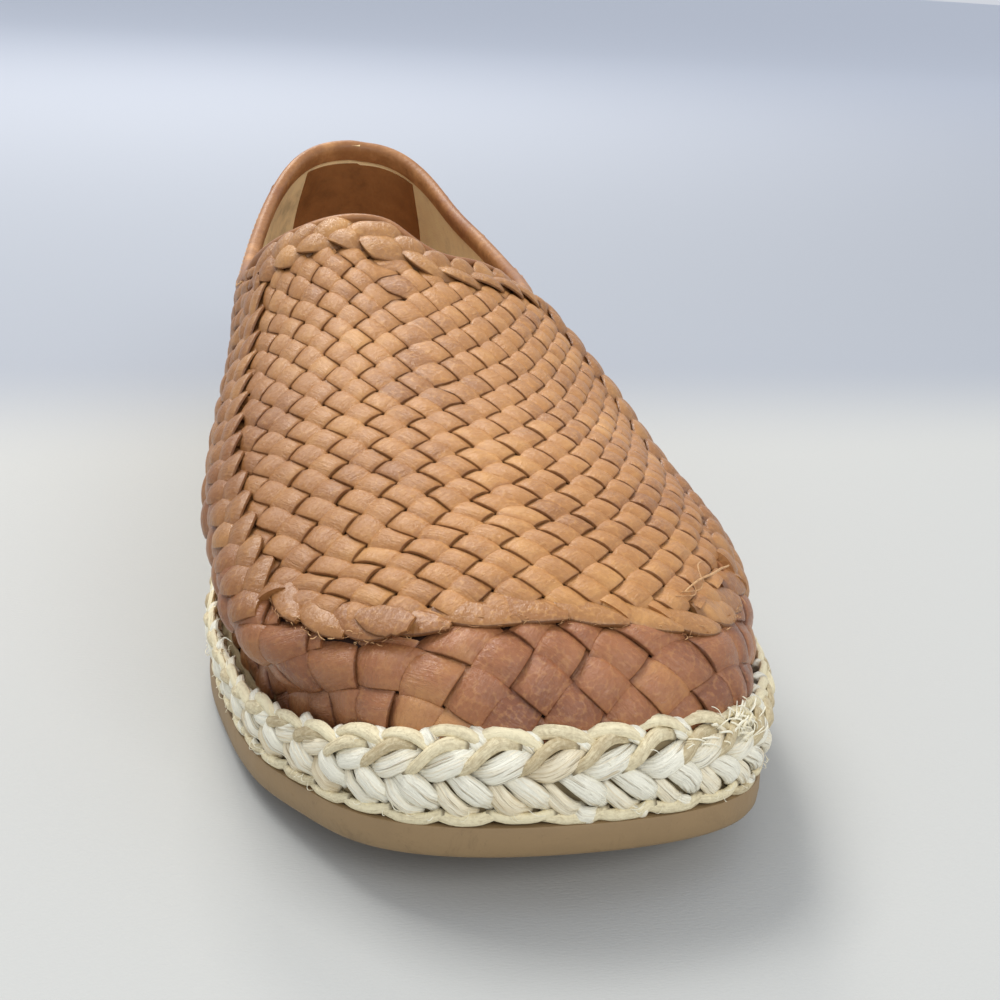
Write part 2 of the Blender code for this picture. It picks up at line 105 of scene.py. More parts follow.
# Weave, plait and edges laid over the last
BACKSTAY_COVER = 6.5      # the quarters' strips end this far from the heel's middle line
THROAT_BLEND = 2.0        # half the length over which the wall turns from quarter to vamp
APRON_HALF = 0.478        # half width of an apron strip, in cells
RIM_CLEARANCE = 7.0       # apron strips end here before the throat's edge
FRONT_CLEARANCE = 2.2     # apron strips end here before the front edge
WALL_PHASE = 0.35         # place of the wall's weave on its flat pattern, in strips
WALL_FOOT = 4.5           # the wall's strips start this far under its foot line
WALL_TUCK = 3.5           # and run this far under the apron
APRON_BASE = 0.62         # middle height of the apron's strips over the last
APRON_SWING = 0.42        # how far they rise and dive
WALL_BASE = 0.35          # the same for the wall's strips
WALL_SWING = 0.6
STRIP_GAP = 0.06          # gap between two strips of the wall
PLAIT_END = 232.0         # foot stations: end of the leather plait, ends of the front edge
FRONT_MEDIAL = 228.0
FRONT_LATERAL = 216.0
DRAWN_STEP = 8.0          # length of one raffia step that PLAIT_PARTS is drawn for

# Edge of the outsole: station, centre, half width
PLAN = np.array([
    (20, 0.0, 28.0), (45, -0.5, 33.0), (75, -1.0, 36.0), (105, -1.0, 38.5),
    (135, -0.2, 41.5), (165, -0.1, 46.6), (190, -0.4, 49.2), (212, -0.3, 47.4),
    (230, -0.7, 43.6), (246, -0.6, 36.6), (257, -0.2, 29.7),
])

# Thickness of the rubber's edge: station, thickness
RUBBER = np.array([(0, 10.0), (60, 9.6), (110, 8.0), (150, 6.2), (190, 5.6), (266, 5.6)])

# Line over the instep and the toe: station, x, z
RIDGE = np.array([
    (38, -1.0, 93.0), (60, -4.0, 95.0), (85, -8.0, 94.0), (110, -12.0, 89.5),
    (128, -14.0, 84.5), (142, -14.5, 79.5), (155, -13.5, 73.0), (170, -12.0, 66.0),
    (190, -9.0, 59.0), (212, -6.0, 53.5), (232, -3.5, 48.5),
])

# Arches from the sole to the ridge: foot, top, then bow, fullness, bulge and belly of the lateral
# and the medial side, and the lateral side's reach towards the toe
ARCH = np.array([
    (0, 38, 1.0, 1.0, 2.90, 2.90, 2.6, 2.6, 46, 46, 0.0),
    (30, 55, 1.2, 1.6, 2.22, 2.70, 2.0, 2.8, 48, 60, 0.0),
    (70, 100, 2.2, 3.0, 2.38, 2.75, 2.4, 3.8, 48, 70, 1.2),
    (104, 143, 5.2, 5.0, 1.86, 2.90, 3.4, 5.4, 48, 75, 7.5),
    (126, 154.5, 2.9, 3.6, 1.98, 2.80, 2.8, 6.0, 48, 72, 5.6),
    (150, 167, 1.8, 2.2, 1.95, 2.60, 3.0, 6.4, 48, 60, 1.6),
    (190, 191, 1.4, 1.4, 1.86, 2.42, 2.1, 6.9, 42, 48, 0.0),
    (208, 202, 1.35, 1.35, 2.02, 2.45, 2.1, 7.3, 41, 38, 0.0),
    (225, 212, 1.3, 1.3, 2.15, 2.50, 1.9, 8.0, 40, 26, 0.0),
    (238, 219, 1.2, 1.2, 2.18, 2.45, 1.9, 7.0, 38, 21, 0.0),
    (250, 225, 1.1, 1.1, 2.20, 2.15, 1.4, 3.6, 36, 28, 0.0),
    (266, 232, 1.0, 1.0, 2.20, 2.20, 1.0, 1.0, 36, 36, 0.0),
])

# Height of the topline seen from the side: station, lateral z, medial z
TOPLINE = np.array([
    (4, 81.4, 78.6), (20, 71.8, 74.8), (40, 64.1, 67.0), (60, 60.4, 61.5),
    (80, 58.3, 59.0), (96, 58.4, 58.6), (108, 59.7, 59.6), (120, 61.2, 62.0),
])

# The apron's edge as a share of the arch: foot, lateral, medial
APRON = np.array([
    (104, 0.52, 0.50), (126, 0.50, 0.46), (150, 0.45, 0.43), (175, 0.40, 0.41),
    (200, 0.36, 0.38), (220, 0.34, 0.33), (240, 0.36, 0.30), (252, 0.41, 0.37),
    (260, 0.48, 0.50), (266, 0.59, 0.59),
])


def spring(at):
    """Lift of the sole towards the toe."""
    ahead = np.clip((at - SPRING_FROM) / (LENGTH - SPRING_FROM), 0, None)
    return TOE_SPRING * ahead**SPRING_POWER


def spline(table, column, x):
    """Smooth curve through a table's rows, straight beyond its ends."""
    xs = table[:, 0]
    ys = table[:, column]
    x = np.asarray(x, float)
    step = np.diff(xs)
    slope = np.diff(ys) / step
    tangent = np.empty_like(ys)
    tangent[1:-1] = (slope[:-1] * step[1:] + slope[1:] * step[:-1]) / (step[1:] + step[:-1])
    tangent[0] = 1.5 * slope[0] - 0.5 * tangent[1]
    tangent[-1] = 1.5 * slope[-1] - 0.5 * tangent[-2]
    i = np.clip(np.searchsorted(xs, x) - 1, 0, len(xs) - 2)
    t = (x - xs[i]) / step[i]
    value = (
        ys[i] * (2 * t**3 - 3 * t**2 + 1)
        + step[i] * tangent[i] * (t**3 - 2 * t**2 + t)
        + ys[i + 1] * (3 * t**2 - 2 * t**3)
        + step[i] * tangent[i + 1] * (t**3 - t**2)
    )
    value = np.where(x < xs[0], ys[0] + tangent[0] * (x - xs[0]), value)
    return np.where(x > xs[-1], ys[-1] + tangent[-1] * (x - xs[-1]), value)


def station(theta):
    """Station of an angle along the outline, 0 at the heel and pi at the toe."""
    return LENGTH / 2 * (1 - np.cos(theta))


def angle(at):
    """Angle along the outline of a station."""
    return np.arccos(1 - 2 * np.asarray(at, float) / LENGTH)


def sole_edge(theta, side):
    """Point of the rubber's edge seen from above: station and x."""
    rows = angle(PLAN[:, 0])
    fullness = np.stack([rows, PLAN[:, 2] / np.sin(rows)], axis=1)
    at = station(theta)
    middle = spline(PLAN, 1, np.clip(at, PLAN_END, LENGTH - PLAN_END))
    return at, middle + side * spline(fullness, 1, theta) * np.sin(theta)


def outline(theta, side, inset=0.0):
    """Point of the sole's edge, moved inwards by the inset: station and x."""
    at, x = sole_edge(theta, side)
    at_0, x_0 = sole_edge(theta - 0.001, side)
    at_1, x_1 = sole_edge(theta + 0.001, side)
    run = np.hypot(at_1 - at_0, x_1 - x_0)
    return at + side * (x_1 - x_0) / run * inset, x - side * (at_1 - at_0) / run * inset


def ground(at):
    """Height of the sole's underside."""
    hollow = np.clip((at - ARCH_FROM) / (ARCH_TO - ARCH_FROM), 0, 1)
    return spring(at) + ARCH_CLEARANCE * np.sin(math.pi * hollow) ** 2


def ledge(at):
    """Height of the rubber's upper edge."""
    return spring(at) + spline(RUBBER, 1, at)


def last(theta, s, side):
    """Point of the last: theta along the outline, s from the sole (0) to the ridge (1)."""
    theta, s, side = np.broadcast_arrays(np.asarray(theta, float), s, side)
    foot = station(theta)
    at_foot, x_foot = outline(theta, side, CORE_INSET)
    top = spline(ARCH, 1, foot)
    bow, n, bulge, belly = (
        np.where(side > 0, spline(ARCH, column, foot), spline(ARCH, column + 1, foot))
        for column in (2, 4, 6, 8)
    )
    across = 1 - np.clip(np.cos(math.pi / 2 * s), 0, 1) ** (2 / n)
    rise = np.clip(np.sin(math.pi / 2 * s), 0, 1) ** (2 / n)
    along = 1 - (1 - across) ** bow
    reach = np.where(side > 0, spline(ARCH, 10, foot), 0)
    at = at_foot + (top - at_foot) * along
    at = at + reach * np.sin(math.pi * across**REACH_POWER) ** 2
    x = x_foot + (spline(RIDGE, 1, top) - x_foot) * across
    z_foot = ledge(at_foot) + CORE_HEIGHT + UPPER_GAP
    z_ridge = spline(RIDGE, 2, at)
    z = z_ridge - (z_ridge - z_foot) * (1 - rise)
    height = np.clip((z - z_foot - FOOT_RISE) / belly, 0, 1)
    swell = bulge * np.sin(math.pi * height**BULGE_POWER) ** 2
    at_out, x_out = outline(theta, side, CORE_INSET - 1.0)
    swollen = (at + (at_out - at_foot) * swell, x + (x_out - x_foot) * swell, z)
    return np.stack(swollen, axis=-1)


def shoe_shift():
    """Move from the shoe's coordinates to the frame's, in millimetres across and along."""
    low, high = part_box("outsole")
    theta = np.linspace(0, math.pi, 1201)
    x = np.concatenate([sole_edge(theta, LATERAL)[1], sole_edge(theta, MEDIAL)[1]])
    return (low.x + high.x) / 2 / MM - (x.max() + x.min()) / 2, (low.y + high.y) / 2 / MM


SHIFT_X, SHIFT_Y = shoe_shift()


def place(points):
    """Shoe coordinates to metres in the frame."""
    at, x, z = np.moveaxis(np.asarray(points, float), -1, 0)
    return np.stack([x + SHIFT_X, LENGTH / 2 - at + SHIFT_Y, z], axis=-1) * MM


def unit(vectors):
    """Vectors made one long."""
    return vectors / np.maximum(np.linalg.norm(vectors, axis=-1, keepdims=True), TINY)


def arc_length(points):
    """Distance along a line to each of its points."""
    return np.concatenate([[0], np.cumsum(np.linalg.norm(np.diff(points, axis=0), axis=1))])


def follow(line, length, along):
    """Points of a line at distances along it."""
    return np.stack([np.interp(along, length, line[:, c]) for c in range(line.shape[1])], axis=1)


def headings(line):
    """Directions of a path on a chart."""
    return unit(np.gradient(line, axis=0))


def leftwards(run):
    """Directions to the left of a path's directions on a chart."""
    return np.stack([-run[:, 1], run[:, 0]], axis=1)


def smoothstep(low, high, x):
    """Rises smoothly from 0 at low to 1 at high."""
    t = np.clip((np.asarray(x, float) - low) / (high - low), 0, 1)
    return t * t * (3 - 2 * t)


def bilinear(table, i, j):
    """Value of a table at fractional rows and columns."""
    i = np.clip(i, 0, table.shape[0] - 1.001)
    j = np.clip(j, 0, table.shape[1] - 1.001)
    i0 = i.astype(int)
    j0 = j.astype(int)
    a = i - i0
    b = j - j0
    if table.ndim == 3:
        a = a[..., None]
        b = b[..., None]
    low = table[i0, j0] * (1 - b) + table[i0, j0 + 1] * b
    high = table[i0 + 1, j0] * (1 - b) + table[i0 + 1, j0 + 1] * b
    return low * (1 - a) + high * a


class Chart:
    """A surface of the shoe by two coordinates in millimetres."""

    STEP = 0.5
    OUTWARD = 1

    def __call__(self, run, height):
        """Point and outward normal."""
        step = self.STEP
        along = self.point(run + step, height) - self.point(run - step, height)
        up = self.point(run, height + step) - self.point(run, height - step)
        return self.point(run, height), unit(self.OUTWARD * np.cross(along, up))


class Wall(Chart):
    """The last's side: run round the foot line, 0 at the toe, and height up the wall."""

    COLUMNS = 361
    HEIGHT = 118
    SHARES = np.linspace(0, 1, 181)

    def __init__(self):
        self.theta = {}
        self.run = {}
        self.share = {}
        for side in (LATERAL, MEDIAL):
            theta = np.linspace(math.pi, 0, 1801)
            run = arc_length(np.stack(outline(theta, side, CORE_INSET), axis=1))
            self.run[side] = run[-1]
            self.theta[side] = np.interp(self.columns(side), run, theta)
            lines = last(self.theta[side][:, None], self.SHARES[None, :], side)
            rows = np.arange(self.HEIGHT, dtype=float)
            self.share[side] = np.array([
                np.interp(rows, arc_length(line), self.SHARES) for line in lines
            ])

    def columns(self, side):
        """Runs of the chart's columns on one side."""
        return np.linspace(0, self.run[side], self.COLUMNS)

    def wrap(self, run):
        """Runs past the back of the heel come out on the other side."""
        whole = self.run[LATERAL] + self.run[MEDIAL]
        run = np.where(run > self.run[LATERAL], run - whole, run)
        return np.where(run < -self.run[MEDIAL], run + whole, run)

    def angles(self, run):
        """Angle and side of a run."""
        run = self.wrap(np.asarray(run, float))
        lateral, medial = (
            np.interp(np.abs(run), self.columns(side), self.theta[side])
            for side in (LATERAL, MEDIAL)
        )
        return np.where(run >= 0, lateral, medial), np.where(run >= 0, LATERAL, MEDIAL)

    def run_of(self, theta, side):
        """Signed run of an angle on one side."""
        return side * np.interp(theta, self.theta[side][::-1], self.columns(side)[::-1])

    def point(self, run, height):
        run, height = np.broadcast_arrays(np.asarray(run, float), np.asarray(height, float))
        theta, side = self.angles(run)
        column = np.abs(self.wrap(run))
        above = np.clip(height, 0, self.HEIGHT - 1.01)
        lateral, medial = (
            bilinear(self.share[one], column / self.run[one] * (self.COLUMNS - 1), above)
            for one in (LATERAL, MEDIAL)
        )
        points = last(theta, np.where(side > 0, lateral, medial), side)
        points[..., 2] += np.minimum(height, 0)
        return points

    def height_of(self, theta, side, share):
        """Height up the wall of an arch's parameter."""
        line = last(np.full(len(self.SHARES), theta), self.SHARES, side)
        return float(np.interp(share, self.SHARES, arc_length(line)))


class Top:
    """The last's top as a chart: x forward over the ridge and the toe, y to the lateral side."""

    START = 96.0
    RIDGE_END = 232.0
    REACH = 66
    END_SHARE = 0.30

    def __init__(self):
        ridge = np.linspace(self.START, self.RIDGE_END, 280)
        feet = np.linspace(0, LENGTH, 1200)
        back = last(angle(np.interp(ridge, spline(ARCH, 1, feet), feet)), 1.0, LATERAL)
        share = np.linspace(1.0, self.END_SHARE, 140)[1:]
        line = np.concatenate([back, last(math.pi, share, LATERAL)])
        run = arc_length(line)
        even = np.arange(int(run[-1]) + 1, dtype=float)
        self.station = np.interp(even, run, line[:, 0])
        crest_share = np.interp(even, run, np.concatenate([np.ones(len(back)), share]))
        self.rows = {}
        grid = []
        for side in (MEDIAL, LATERAL):
            s = crest_share[:, None] * np.linspace(1.0, 0.0, 120)[None, :]
            points = last(self.solve(self.station[:, None], s, side), s, side)
            lengths = np.array([arc_length(row) for row in points])
            self.rows[side] = (s, lengths)
            reach = np.arange(self.REACH + 1, dtype=float)
            half = np.array([follow(row, length, reach) for row, length in zip(points, lengths)])
            grid.append(half[:, ::-1] if side == MEDIAL else half[:, 1:])
        self.table = np.concatenate(grid, axis=1)
        slopes = np.gradient(self.table, axis=0), np.gradient(self.table, axis=1)
        self.normal = unit(np.cross(*slopes))

    def solve(self, at, s, side):
        """Angle of the arch that passes a station at a parameter, by halving."""
        low = np.zeros(np.broadcast_shapes(at.shape, s.shape))
        high = np.full(low.shape, math.pi)
        for _ in range(26):
            middle = (low + high) / 2
            under = last(middle, s, side)[..., 0] < at
            low = np.where(under, middle, low)
            high = np.where(under, high, middle)
        return (low + high) / 2

    def __call__(self, x, y):
        """Point and outward normal."""
        x = np.asarray(x, float)
        y = np.asarray(y, float) + self.REACH
        return bilinear(self.table, x, y), unit(bilinear(self.normal, x, y))

    def chart(self, points, shares, side):
        """Chart coordinates of points of the last whose arch parameter is known."""
        x = np.interp(points[:, 0], self.station, np.arange(len(self.station)))
        s, lengths = self.rows[side]
        y = []
        for row, share in zip(x, shares):
            k = int(min(row, len(s) - 2))
            near, far = (np.interp(share, s[j][::-1], lengths[j][::-1]) for j in (k, k + 1))
            y.append(near + (far - near) * (row - k))
        return np.stack([x, side * np.array(y)], axis=1)


WALL_CHART = Wall()
TOP_CHART = Top()


def column_angles():
    """Angles of the solids' columns, where the topline runs over into the apron's edge."""
    theta = np.linspace(0, math.pi, 2001)
    arc = arc_length(np.stack(outline(theta, LATERAL, CORE_INSET), axis=1))
    throat = np.interp(angle(THROAT_FOOT), theta, arc)
    backstay = [0.0, BACKSTAY_HALF / 2, BACKSTAY_HALF]
    quarter = np.linspace(BACKSTAY_HALF + BACKSTAY_STEP, throat, QUARTER_COLUMNS)
    vamp = np.linspace(throat, arc[-1], VAMP_COLUMNS)[1:]
    return np.interp(np.concatenate([backstay, quarter, vamp]), arc, theta)


THETA = column_angles()
THROAT_COLUMN = 2 + QUARTER_COLUMNS
THROAT = THETA[THROAT_COLUMN]


def wall_tops(side):
    """Arch parameter of the topline and the apron's edge at each column."""
    column = 1 if side == LATERAL else 2
    s = np.linspace(0, 1, 241)
    tops = spline(APRON, column, station(THETA))
    for k, theta in enumerate(THETA[:THROAT_COLUMN + 1]):
        line = last(np.full(len(s), theta), s, side)
        over = line[:, 2] - spline(TOPLINE, column, line[:, 0])
        i = int(np.argmax(over > 0))
        tops[k] = s[i - 1] + over[i - 1] / (over[i - 1] - over[i]) * (s[i] - s[i - 1])
    for _ in range(3):
        mean = (tops[:-2] + tops[1:-1] * 2 + tops[2:]) / 4
        tops[THROAT_COLUMN - 3:THROAT_COLUMN + 4] = mean[THROAT_COLUMN - 4:THROAT_COLUMN + 3]
    return tops


SHARES = {side: np.stack([THETA, wall_tops(side)], axis=1) for side in (LATERAL, MEDIAL)}


def edge_share(theta, side):
    """Arch parameter of the wall's upper edge."""
    return spline(SHARES[side], 1, theta)


def edge_heights():
    """Height of the wall's upper edge, by run."""
    rows = set()
    for side in (MEDIAL, LATERAL):
        for theta in np.linspace(0, math.pi, 181)[::-side]:
            height = WALL_CHART.height_of(theta, side, float(edge_share(theta, side)))
            rows.add((float(WALL_CHART.run_of(theta, side)), height))
    return np.array(sorted(rows))


EDGE = edge_heights()
THROAT_RUN = {side: abs(float(WALL_CHART.run_of(THROAT, side))) for side in (LATERAL, MEDIAL)}


def edge_height(run):
    """Height of the wall's upper edge at runs."""
    return np.interp(WALL_CHART.wrap(np.asarray(run, float)), EDGE[:, 0], EDGE[:, 1])


def in_vamp(run):
    """1 in front of the throat, 0 along the quarters."""
    throat = THROAT_RUN[LATERAL]
    return smoothstep(throat + THROAT_BLEND, throat - THROAT_BLEND, np.abs(run))


class Strips:
    """Collects strips laid on a chart of the shoe and makes one mesh of them."""

    def __init__(self):
        self.points = []
        self.faces = []
        self.caps = []
        self.maps = []
        # Per point: a random tone, painted shade where a strip dives under others, and nearness to
        # the strip's edge
        self.values = {"tone": [], "under_shade": [], "rim": []}
        self.count = 0

    def add(self, rings, along, across, rim, tone, under_shade, closed=False):
        """One tube: rings of points, with length and width in millimetres for its pattern."""
        n, m = rings.shape[:2]
        index = self.count + np.arange(n * m).reshape(n, m)
        here = index if closed else index[:-1]
        ahead = np.roll(index, -1, axis=0) if closed else index[1:]
        corners = [here, ahead, np.roll(ahead, -1, axis=1), np.roll(here, -1, axis=1)]
        self.faces.append(np.stack(corners, axis=-1).reshape(-1, 4))
        if not closed:
            self.caps += [index[0].tolist(), index[-1][::-1].tolist()]
        self.points.append(rings.reshape(-1, 3))
        pattern = np.broadcast_arrays(along[:, None] / 10, 0.5 + across / 10)
        self.maps.append(np.stack(pattern, axis=-1).reshape(-1, 2))
        for name, value in (("tone", tone), ("under_shade", under_shade), ("rim", rim)):
            self.values[name].append(np.broadcast_to(value, (n, m)).reshape(-1))
        self.count += n * m

    def lay(self, chart, centre, half, section, height, along, tone, under_shade, rim=None):
        """Strip along a path of a chart, its section's points at heights over the surface."""
        grid, width = grid_across(centre, half, section)
        point, normal = chart(grid[..., 0], grid[..., 1])
        rim = across_edge(section) if rim is None else rim
        self.add(point + normal * height[..., None], along, width, rim, tone, under_shade)

    def build(self, name):
        """Mesh object of all strips, with their pattern map and attributes."""
        mesh = bpy.data.meshes.new(name)
        points = place(np.concatenate(self.points))
        mesh.from_pydata(points.tolist(), [], np.concatenate(self.faces).tolist() + self.caps)
        loops = np.empty(len(mesh.loops), np.int32)
        mesh.loops.foreach_get("vertex_index", loops)
        maps = np.concatenate(self.maps)[loops].astype(np.float32)
        mesh.uv_layers.new(name="UVMap").data.foreach_set("uv", maps.ravel())
        for key, value in self.values.items():
            attribute = mesh.attributes.new(key, "FLOAT", "POINT")
            attribute.data.foreach_set("value", np.concatenate(value).astype(np.float32))
        obj = bpy.data.objects.new(name, mesh)
        bpy.context.scene.collection.objects.link(obj)
        smooth(obj, 48)
        return obj


def round_section(count):
    """Circle of points, once round from the right edge."""
    turn = np.linspace(0, 2 * math.pi, count + 1)[:-1]
    return np.stack([-np.cos(turn), np.sin(turn)], axis=1)


# Cross-sections of strips: across (-1 to 1), height (mm), once round from the right edge
STRAP = np.array([
    (-1.0, -0.85), (-0.995, -0.40), (-0.93, -0.18), (-0.70, -0.04), (-0.3, 0.05), (0.0, 0.08),
    (0.3, 0.05), (0.70, -0.04), (0.93, -0.18), (0.995, -0.40), (1.0, -0.85), (0.0, -1.0),
])
LEAF = np.array([
    (-1.0, -0.50), (-0.97, -0.20), (-0.72, 0.08), (-0.38, 0.26), (0.0, 0.32),
    (0.38, 0.26), (0.72, 0.08), (0.97, -0.20), (1.0, -0.50), (0.4, -0.8), (-0.4, -0.8),
])
CORD = round_section(10)
FIBRE = round_section(6)


def across_edge(section):
    """Distance of a section's points from the strip's middle, 1 at its edges."""
    return np.abs(section[:, 0])[None, :]


def grid_across(centre, half, section):
    """Chart coordinates of a strip's section points, and their distance across."""
    width = np.asarray(half)[:, None] * section[:, 0][None, :]
    return centre[:, None, :] + leftwards(headings(centre))[:, None, :] * width[..., None], width


def smooth(obj, degrees):
    """Smooth faces with sharp edges past an angle."""
    select_only(obj)
    bpy.ops.object.shade_smooth_by_angle(angle=math.radians(degrees))


def select_only(obj):
    """Selects one object and makes it active."""
    for other in bpy.context.view_layer.objects.selected[:]:
        other.select_set(False)
    obj.select_set(True)
    bpy.context.view_layer.objects.active = obj


def face_outward(obj, weld=0.0):
    """Welds vertices nearer than a distance and turns all faces outwards."""
    select_only(obj)
    bpy.ops.object.mode_set(mode="EDIT")
    bpy.ops.mesh.select_all(action="SELECT")
    if weld:
        bpy.ops.mesh.remove_doubles(threshold=weld * MM)
    bpy.ops.mesh.normals_make_consistent(inside=False)
    bpy.ops.object.mode_set(mode="OBJECT")


def runs_inside(mask, least):
    """Stretches of a row of samples that are inside."""
    edges = np.flatnonzero(np.diff(np.concatenate([[0], mask.astype(int), [0]])))
    return [(a, b) for a, b in zip(edges[::2], edges[1::2]) if b - a >= least]


def wobble(rng, n, step, size):
    """Slow random drift along n samples."""
    knots = rng.normal(0, 1, n // step + 3)
    return size * np.interp(np.arange(n) / step, np.arange(len(knots)), knots)


def float_tones(rng, cells, spread):
    """One random tone for each float of a strip."""
    tones = rng.normal(0.5, spread, np.ptp(cells) + 1)[cells - cells.min()]
    return np.clip(tones, 0, 1)[:, None]


def crest(x, sharp=1.6):
    """Over and under, flat on top with quick dives."""
    return np.tanh(sharp * x) / math.tanh(sharp)


def dive(x):
    """Plain weave: a float a little shorter than the stretch that runs under."""
    return crest(x - 0.22, 1.5)


class FlatPattern:
    """The woven sheet of the wall laid flat: a horseshoe round the toe with straight legs."""

    TURN = math.radians(80)
    MIDDLE = 6.0
    STEP = 0.5
    BLUR = 22
    BATCH = 4000

    def __init__(self):
        self.run = np.arange(-WALL_CHART.run[MEDIAL], WALL_CHART.run[LATERAL], self.STEP)
        half = self.STEP / 2
        step = WALL_CHART.point(self.run + half, 0.0) - WALL_CHART.point(self.run - half, 0.0)
        turn = np.unwrap(np.arctan2(-step[:, 0], step[:, 1]))
        turn -= 2 * math.pi * np.round(np.interp(0, self.run, turn) / (2 * math.pi))
        turn = np.pad(np.clip(turn, -self.TURN, self.TURN), self.BLUR, mode="edge")
        window = np.hanning(2 * self.BLUR + 1)
        turn = np.convolve(turn, window / window.sum(), mode="valid")
        self.bend = np.gradient(turn, self.run)
        self.stretch = 1 + self.bend * self.MIDDLE
        self.tangent = np.stack([np.cos(turn), np.sin(turn)], axis=1)
        self.inward = leftwards(self.tangent)
        line = np.cumsum(self.tangent * self.stretch[:, None] * self.STEP, axis=0)
        self.line = line - follow(line, self.run, [0])

    def chart(self, flat):
        """Run and height of points of the flat sheet."""
        shape = flat.shape[:-1]
        flat = flat.reshape(-1, 2)
        out = np.empty_like(flat)
        for start in range(0, len(flat), self.BATCH):
            part = flat[start:start + self.BATCH]
            gap = ((part[:, None, :] - self.line[None, :, :]) ** 2).sum(-1)
            k = gap.argmin(axis=1)
            away = part - self.line[k]
            height = (away * self.inward[k]).sum(-1)
            scale = np.maximum(self.stretch[k] - self.bend[k] * height, 0.25)
            ahead = np.clip((away * self.tangent[k]).sum(-1) / scale, -0.6, 0.6)
            out[start:start + self.BATCH] = np.stack([self.run[k] + ahead, height], axis=1)
        return out.reshape(*shape, 2)


def polygon_holds(polygon, points):
    """Even-odd test of many points."""
    inside = np.zeros(len(points), bool)
    x, y = points[:, 0], points[:, 1]
    for (x0, y0), (x1, y1) in zip(polygon, np.roll(polygon, -1, axis=0)):
        cuts = (y0 > y) != (y1 > y)
        if abs(y1 - y0) > TINY:
            inside ^= cuts & (x < (x1 - x0) * (y - y0) / (y1 - y0) + x0)
    return inside


def line_distance(line, points):
    """Distance of many points to a line."""
    best = np.full(len(points), 1e9)
    for p, q in zip(line, line[1:]):
        d = q - p
        t = np.clip(((points - p) @ d) / max(d @ d, TINY), 0, 1)
        best = np.minimum(best, np.linalg.norm(points - (p + t[:, None] * d), axis=1))
    return best


def seam_chart(side, first=THROAT, final=math.pi, count=150):
    """The apron's edge on the top chart, from the throat to the toe."""
    theta = np.linspace(first, final, count)
    shares = edge_share(theta, side)
    return TOP_CHART.chart(last(theta, shares, side), shares, side)


def throat_chart(side, count=50):
    """The throat's edge on the top chart, from the ridge down to the seam."""
    shares = np.linspace(1.0, float(edge_share(THROAT, side)), count)
    return TOP_CHART.chart(last(THROAT, shares, side), shares, side)


APRON_OUTLINE = np.concatenate([
    throat_chart(LATERAL), seam_chart(LATERAL)[1:-1],
    seam_chart(MEDIAL)[::-1], throat_chart(MEDIAL)[::-1][1:-1],
])


def resample(line, step):
    """Points of a line at an even step."""
    length = arc_length(line)
    return follow(line, length, np.arange(0, length[-1], step))


def soften(line, width, closed=False):
    """Moving average along a line, its ends held."""
    window = np.hanning(2 * width + 3)[1:-1]
    window /= window.sum()
    ends = {"mode": "wrap"} if closed else {"mode": "reflect", "reflect_type": "odd"}
    return np.stack([
        np.convolve(np.pad(column, width, **ends), window, mode="valid") for column in line.T
    ], axis=1)


# Apron weave: row, its place along the ridge, its offset at the middle column, spacing and lean
APRON_ROWS = np.array([
    (-5, 28.0, 1.0, 5.8, 2.6), (1, 74.5, 1.0, 5.8, 2.6), (3, 89.7, -0.7, 5.8, 2.6),
    (5, 105.2, -4.0, 6.0, 2.7), (7, 119.4, -7.2, 6.4, 2.9), (9, 132.6, -8.8, 6.8, 2.7),
    (11, 145.5, -8.6, 7.1, 2.1), (13, 158.3, -8.3, 6.9, 2.1), (22, 216.8, -8.3, 6.9, 2.1),
])
APRON_LEAN = 2.5

# How far along the ridge each column of the weave is shifted, medial to lateral
APRON_SHIFT = np.array([
    (-10, -25.0), (-4, -10.0), (-2, -5.0), (0, 0.0), (1, 2.5), (2, 4.5),
    (3, 5.3), (4, 4.6), (5, 2.6), (6, -0.2), (8, -6.5), (12, -20.0),
])

# The two directions of strips
SLASH = 0
BACKSLASH = 1


def apron_chart(alpha, beta):
    """Lattice of the apron's weave on the top chart: strips run along alpha and beta."""
    row = (alpha + beta) / 2
    column = (alpha - beta) / 2 - 1
    near = 2.5 * np.tanh(column / 2.5)
    lean = spline(APRON_ROWS, 4, row) - APRON_LEAN
    x = spline(APRON_ROWS, 1, row) + spline(APRON_SHIFT, 1, column) + lean * near
    y = spline(APRON_ROWS, 2, row) + spline(APRON_ROWS, 3, row) * column
    return x, y


def strip_cell(family, line, along, across):
    """Lattice coordinates of a point beside a strip's middle line."""
    if family == SLASH:
        return line + 0.5 + across, along
    return along, line + 0.5 - across


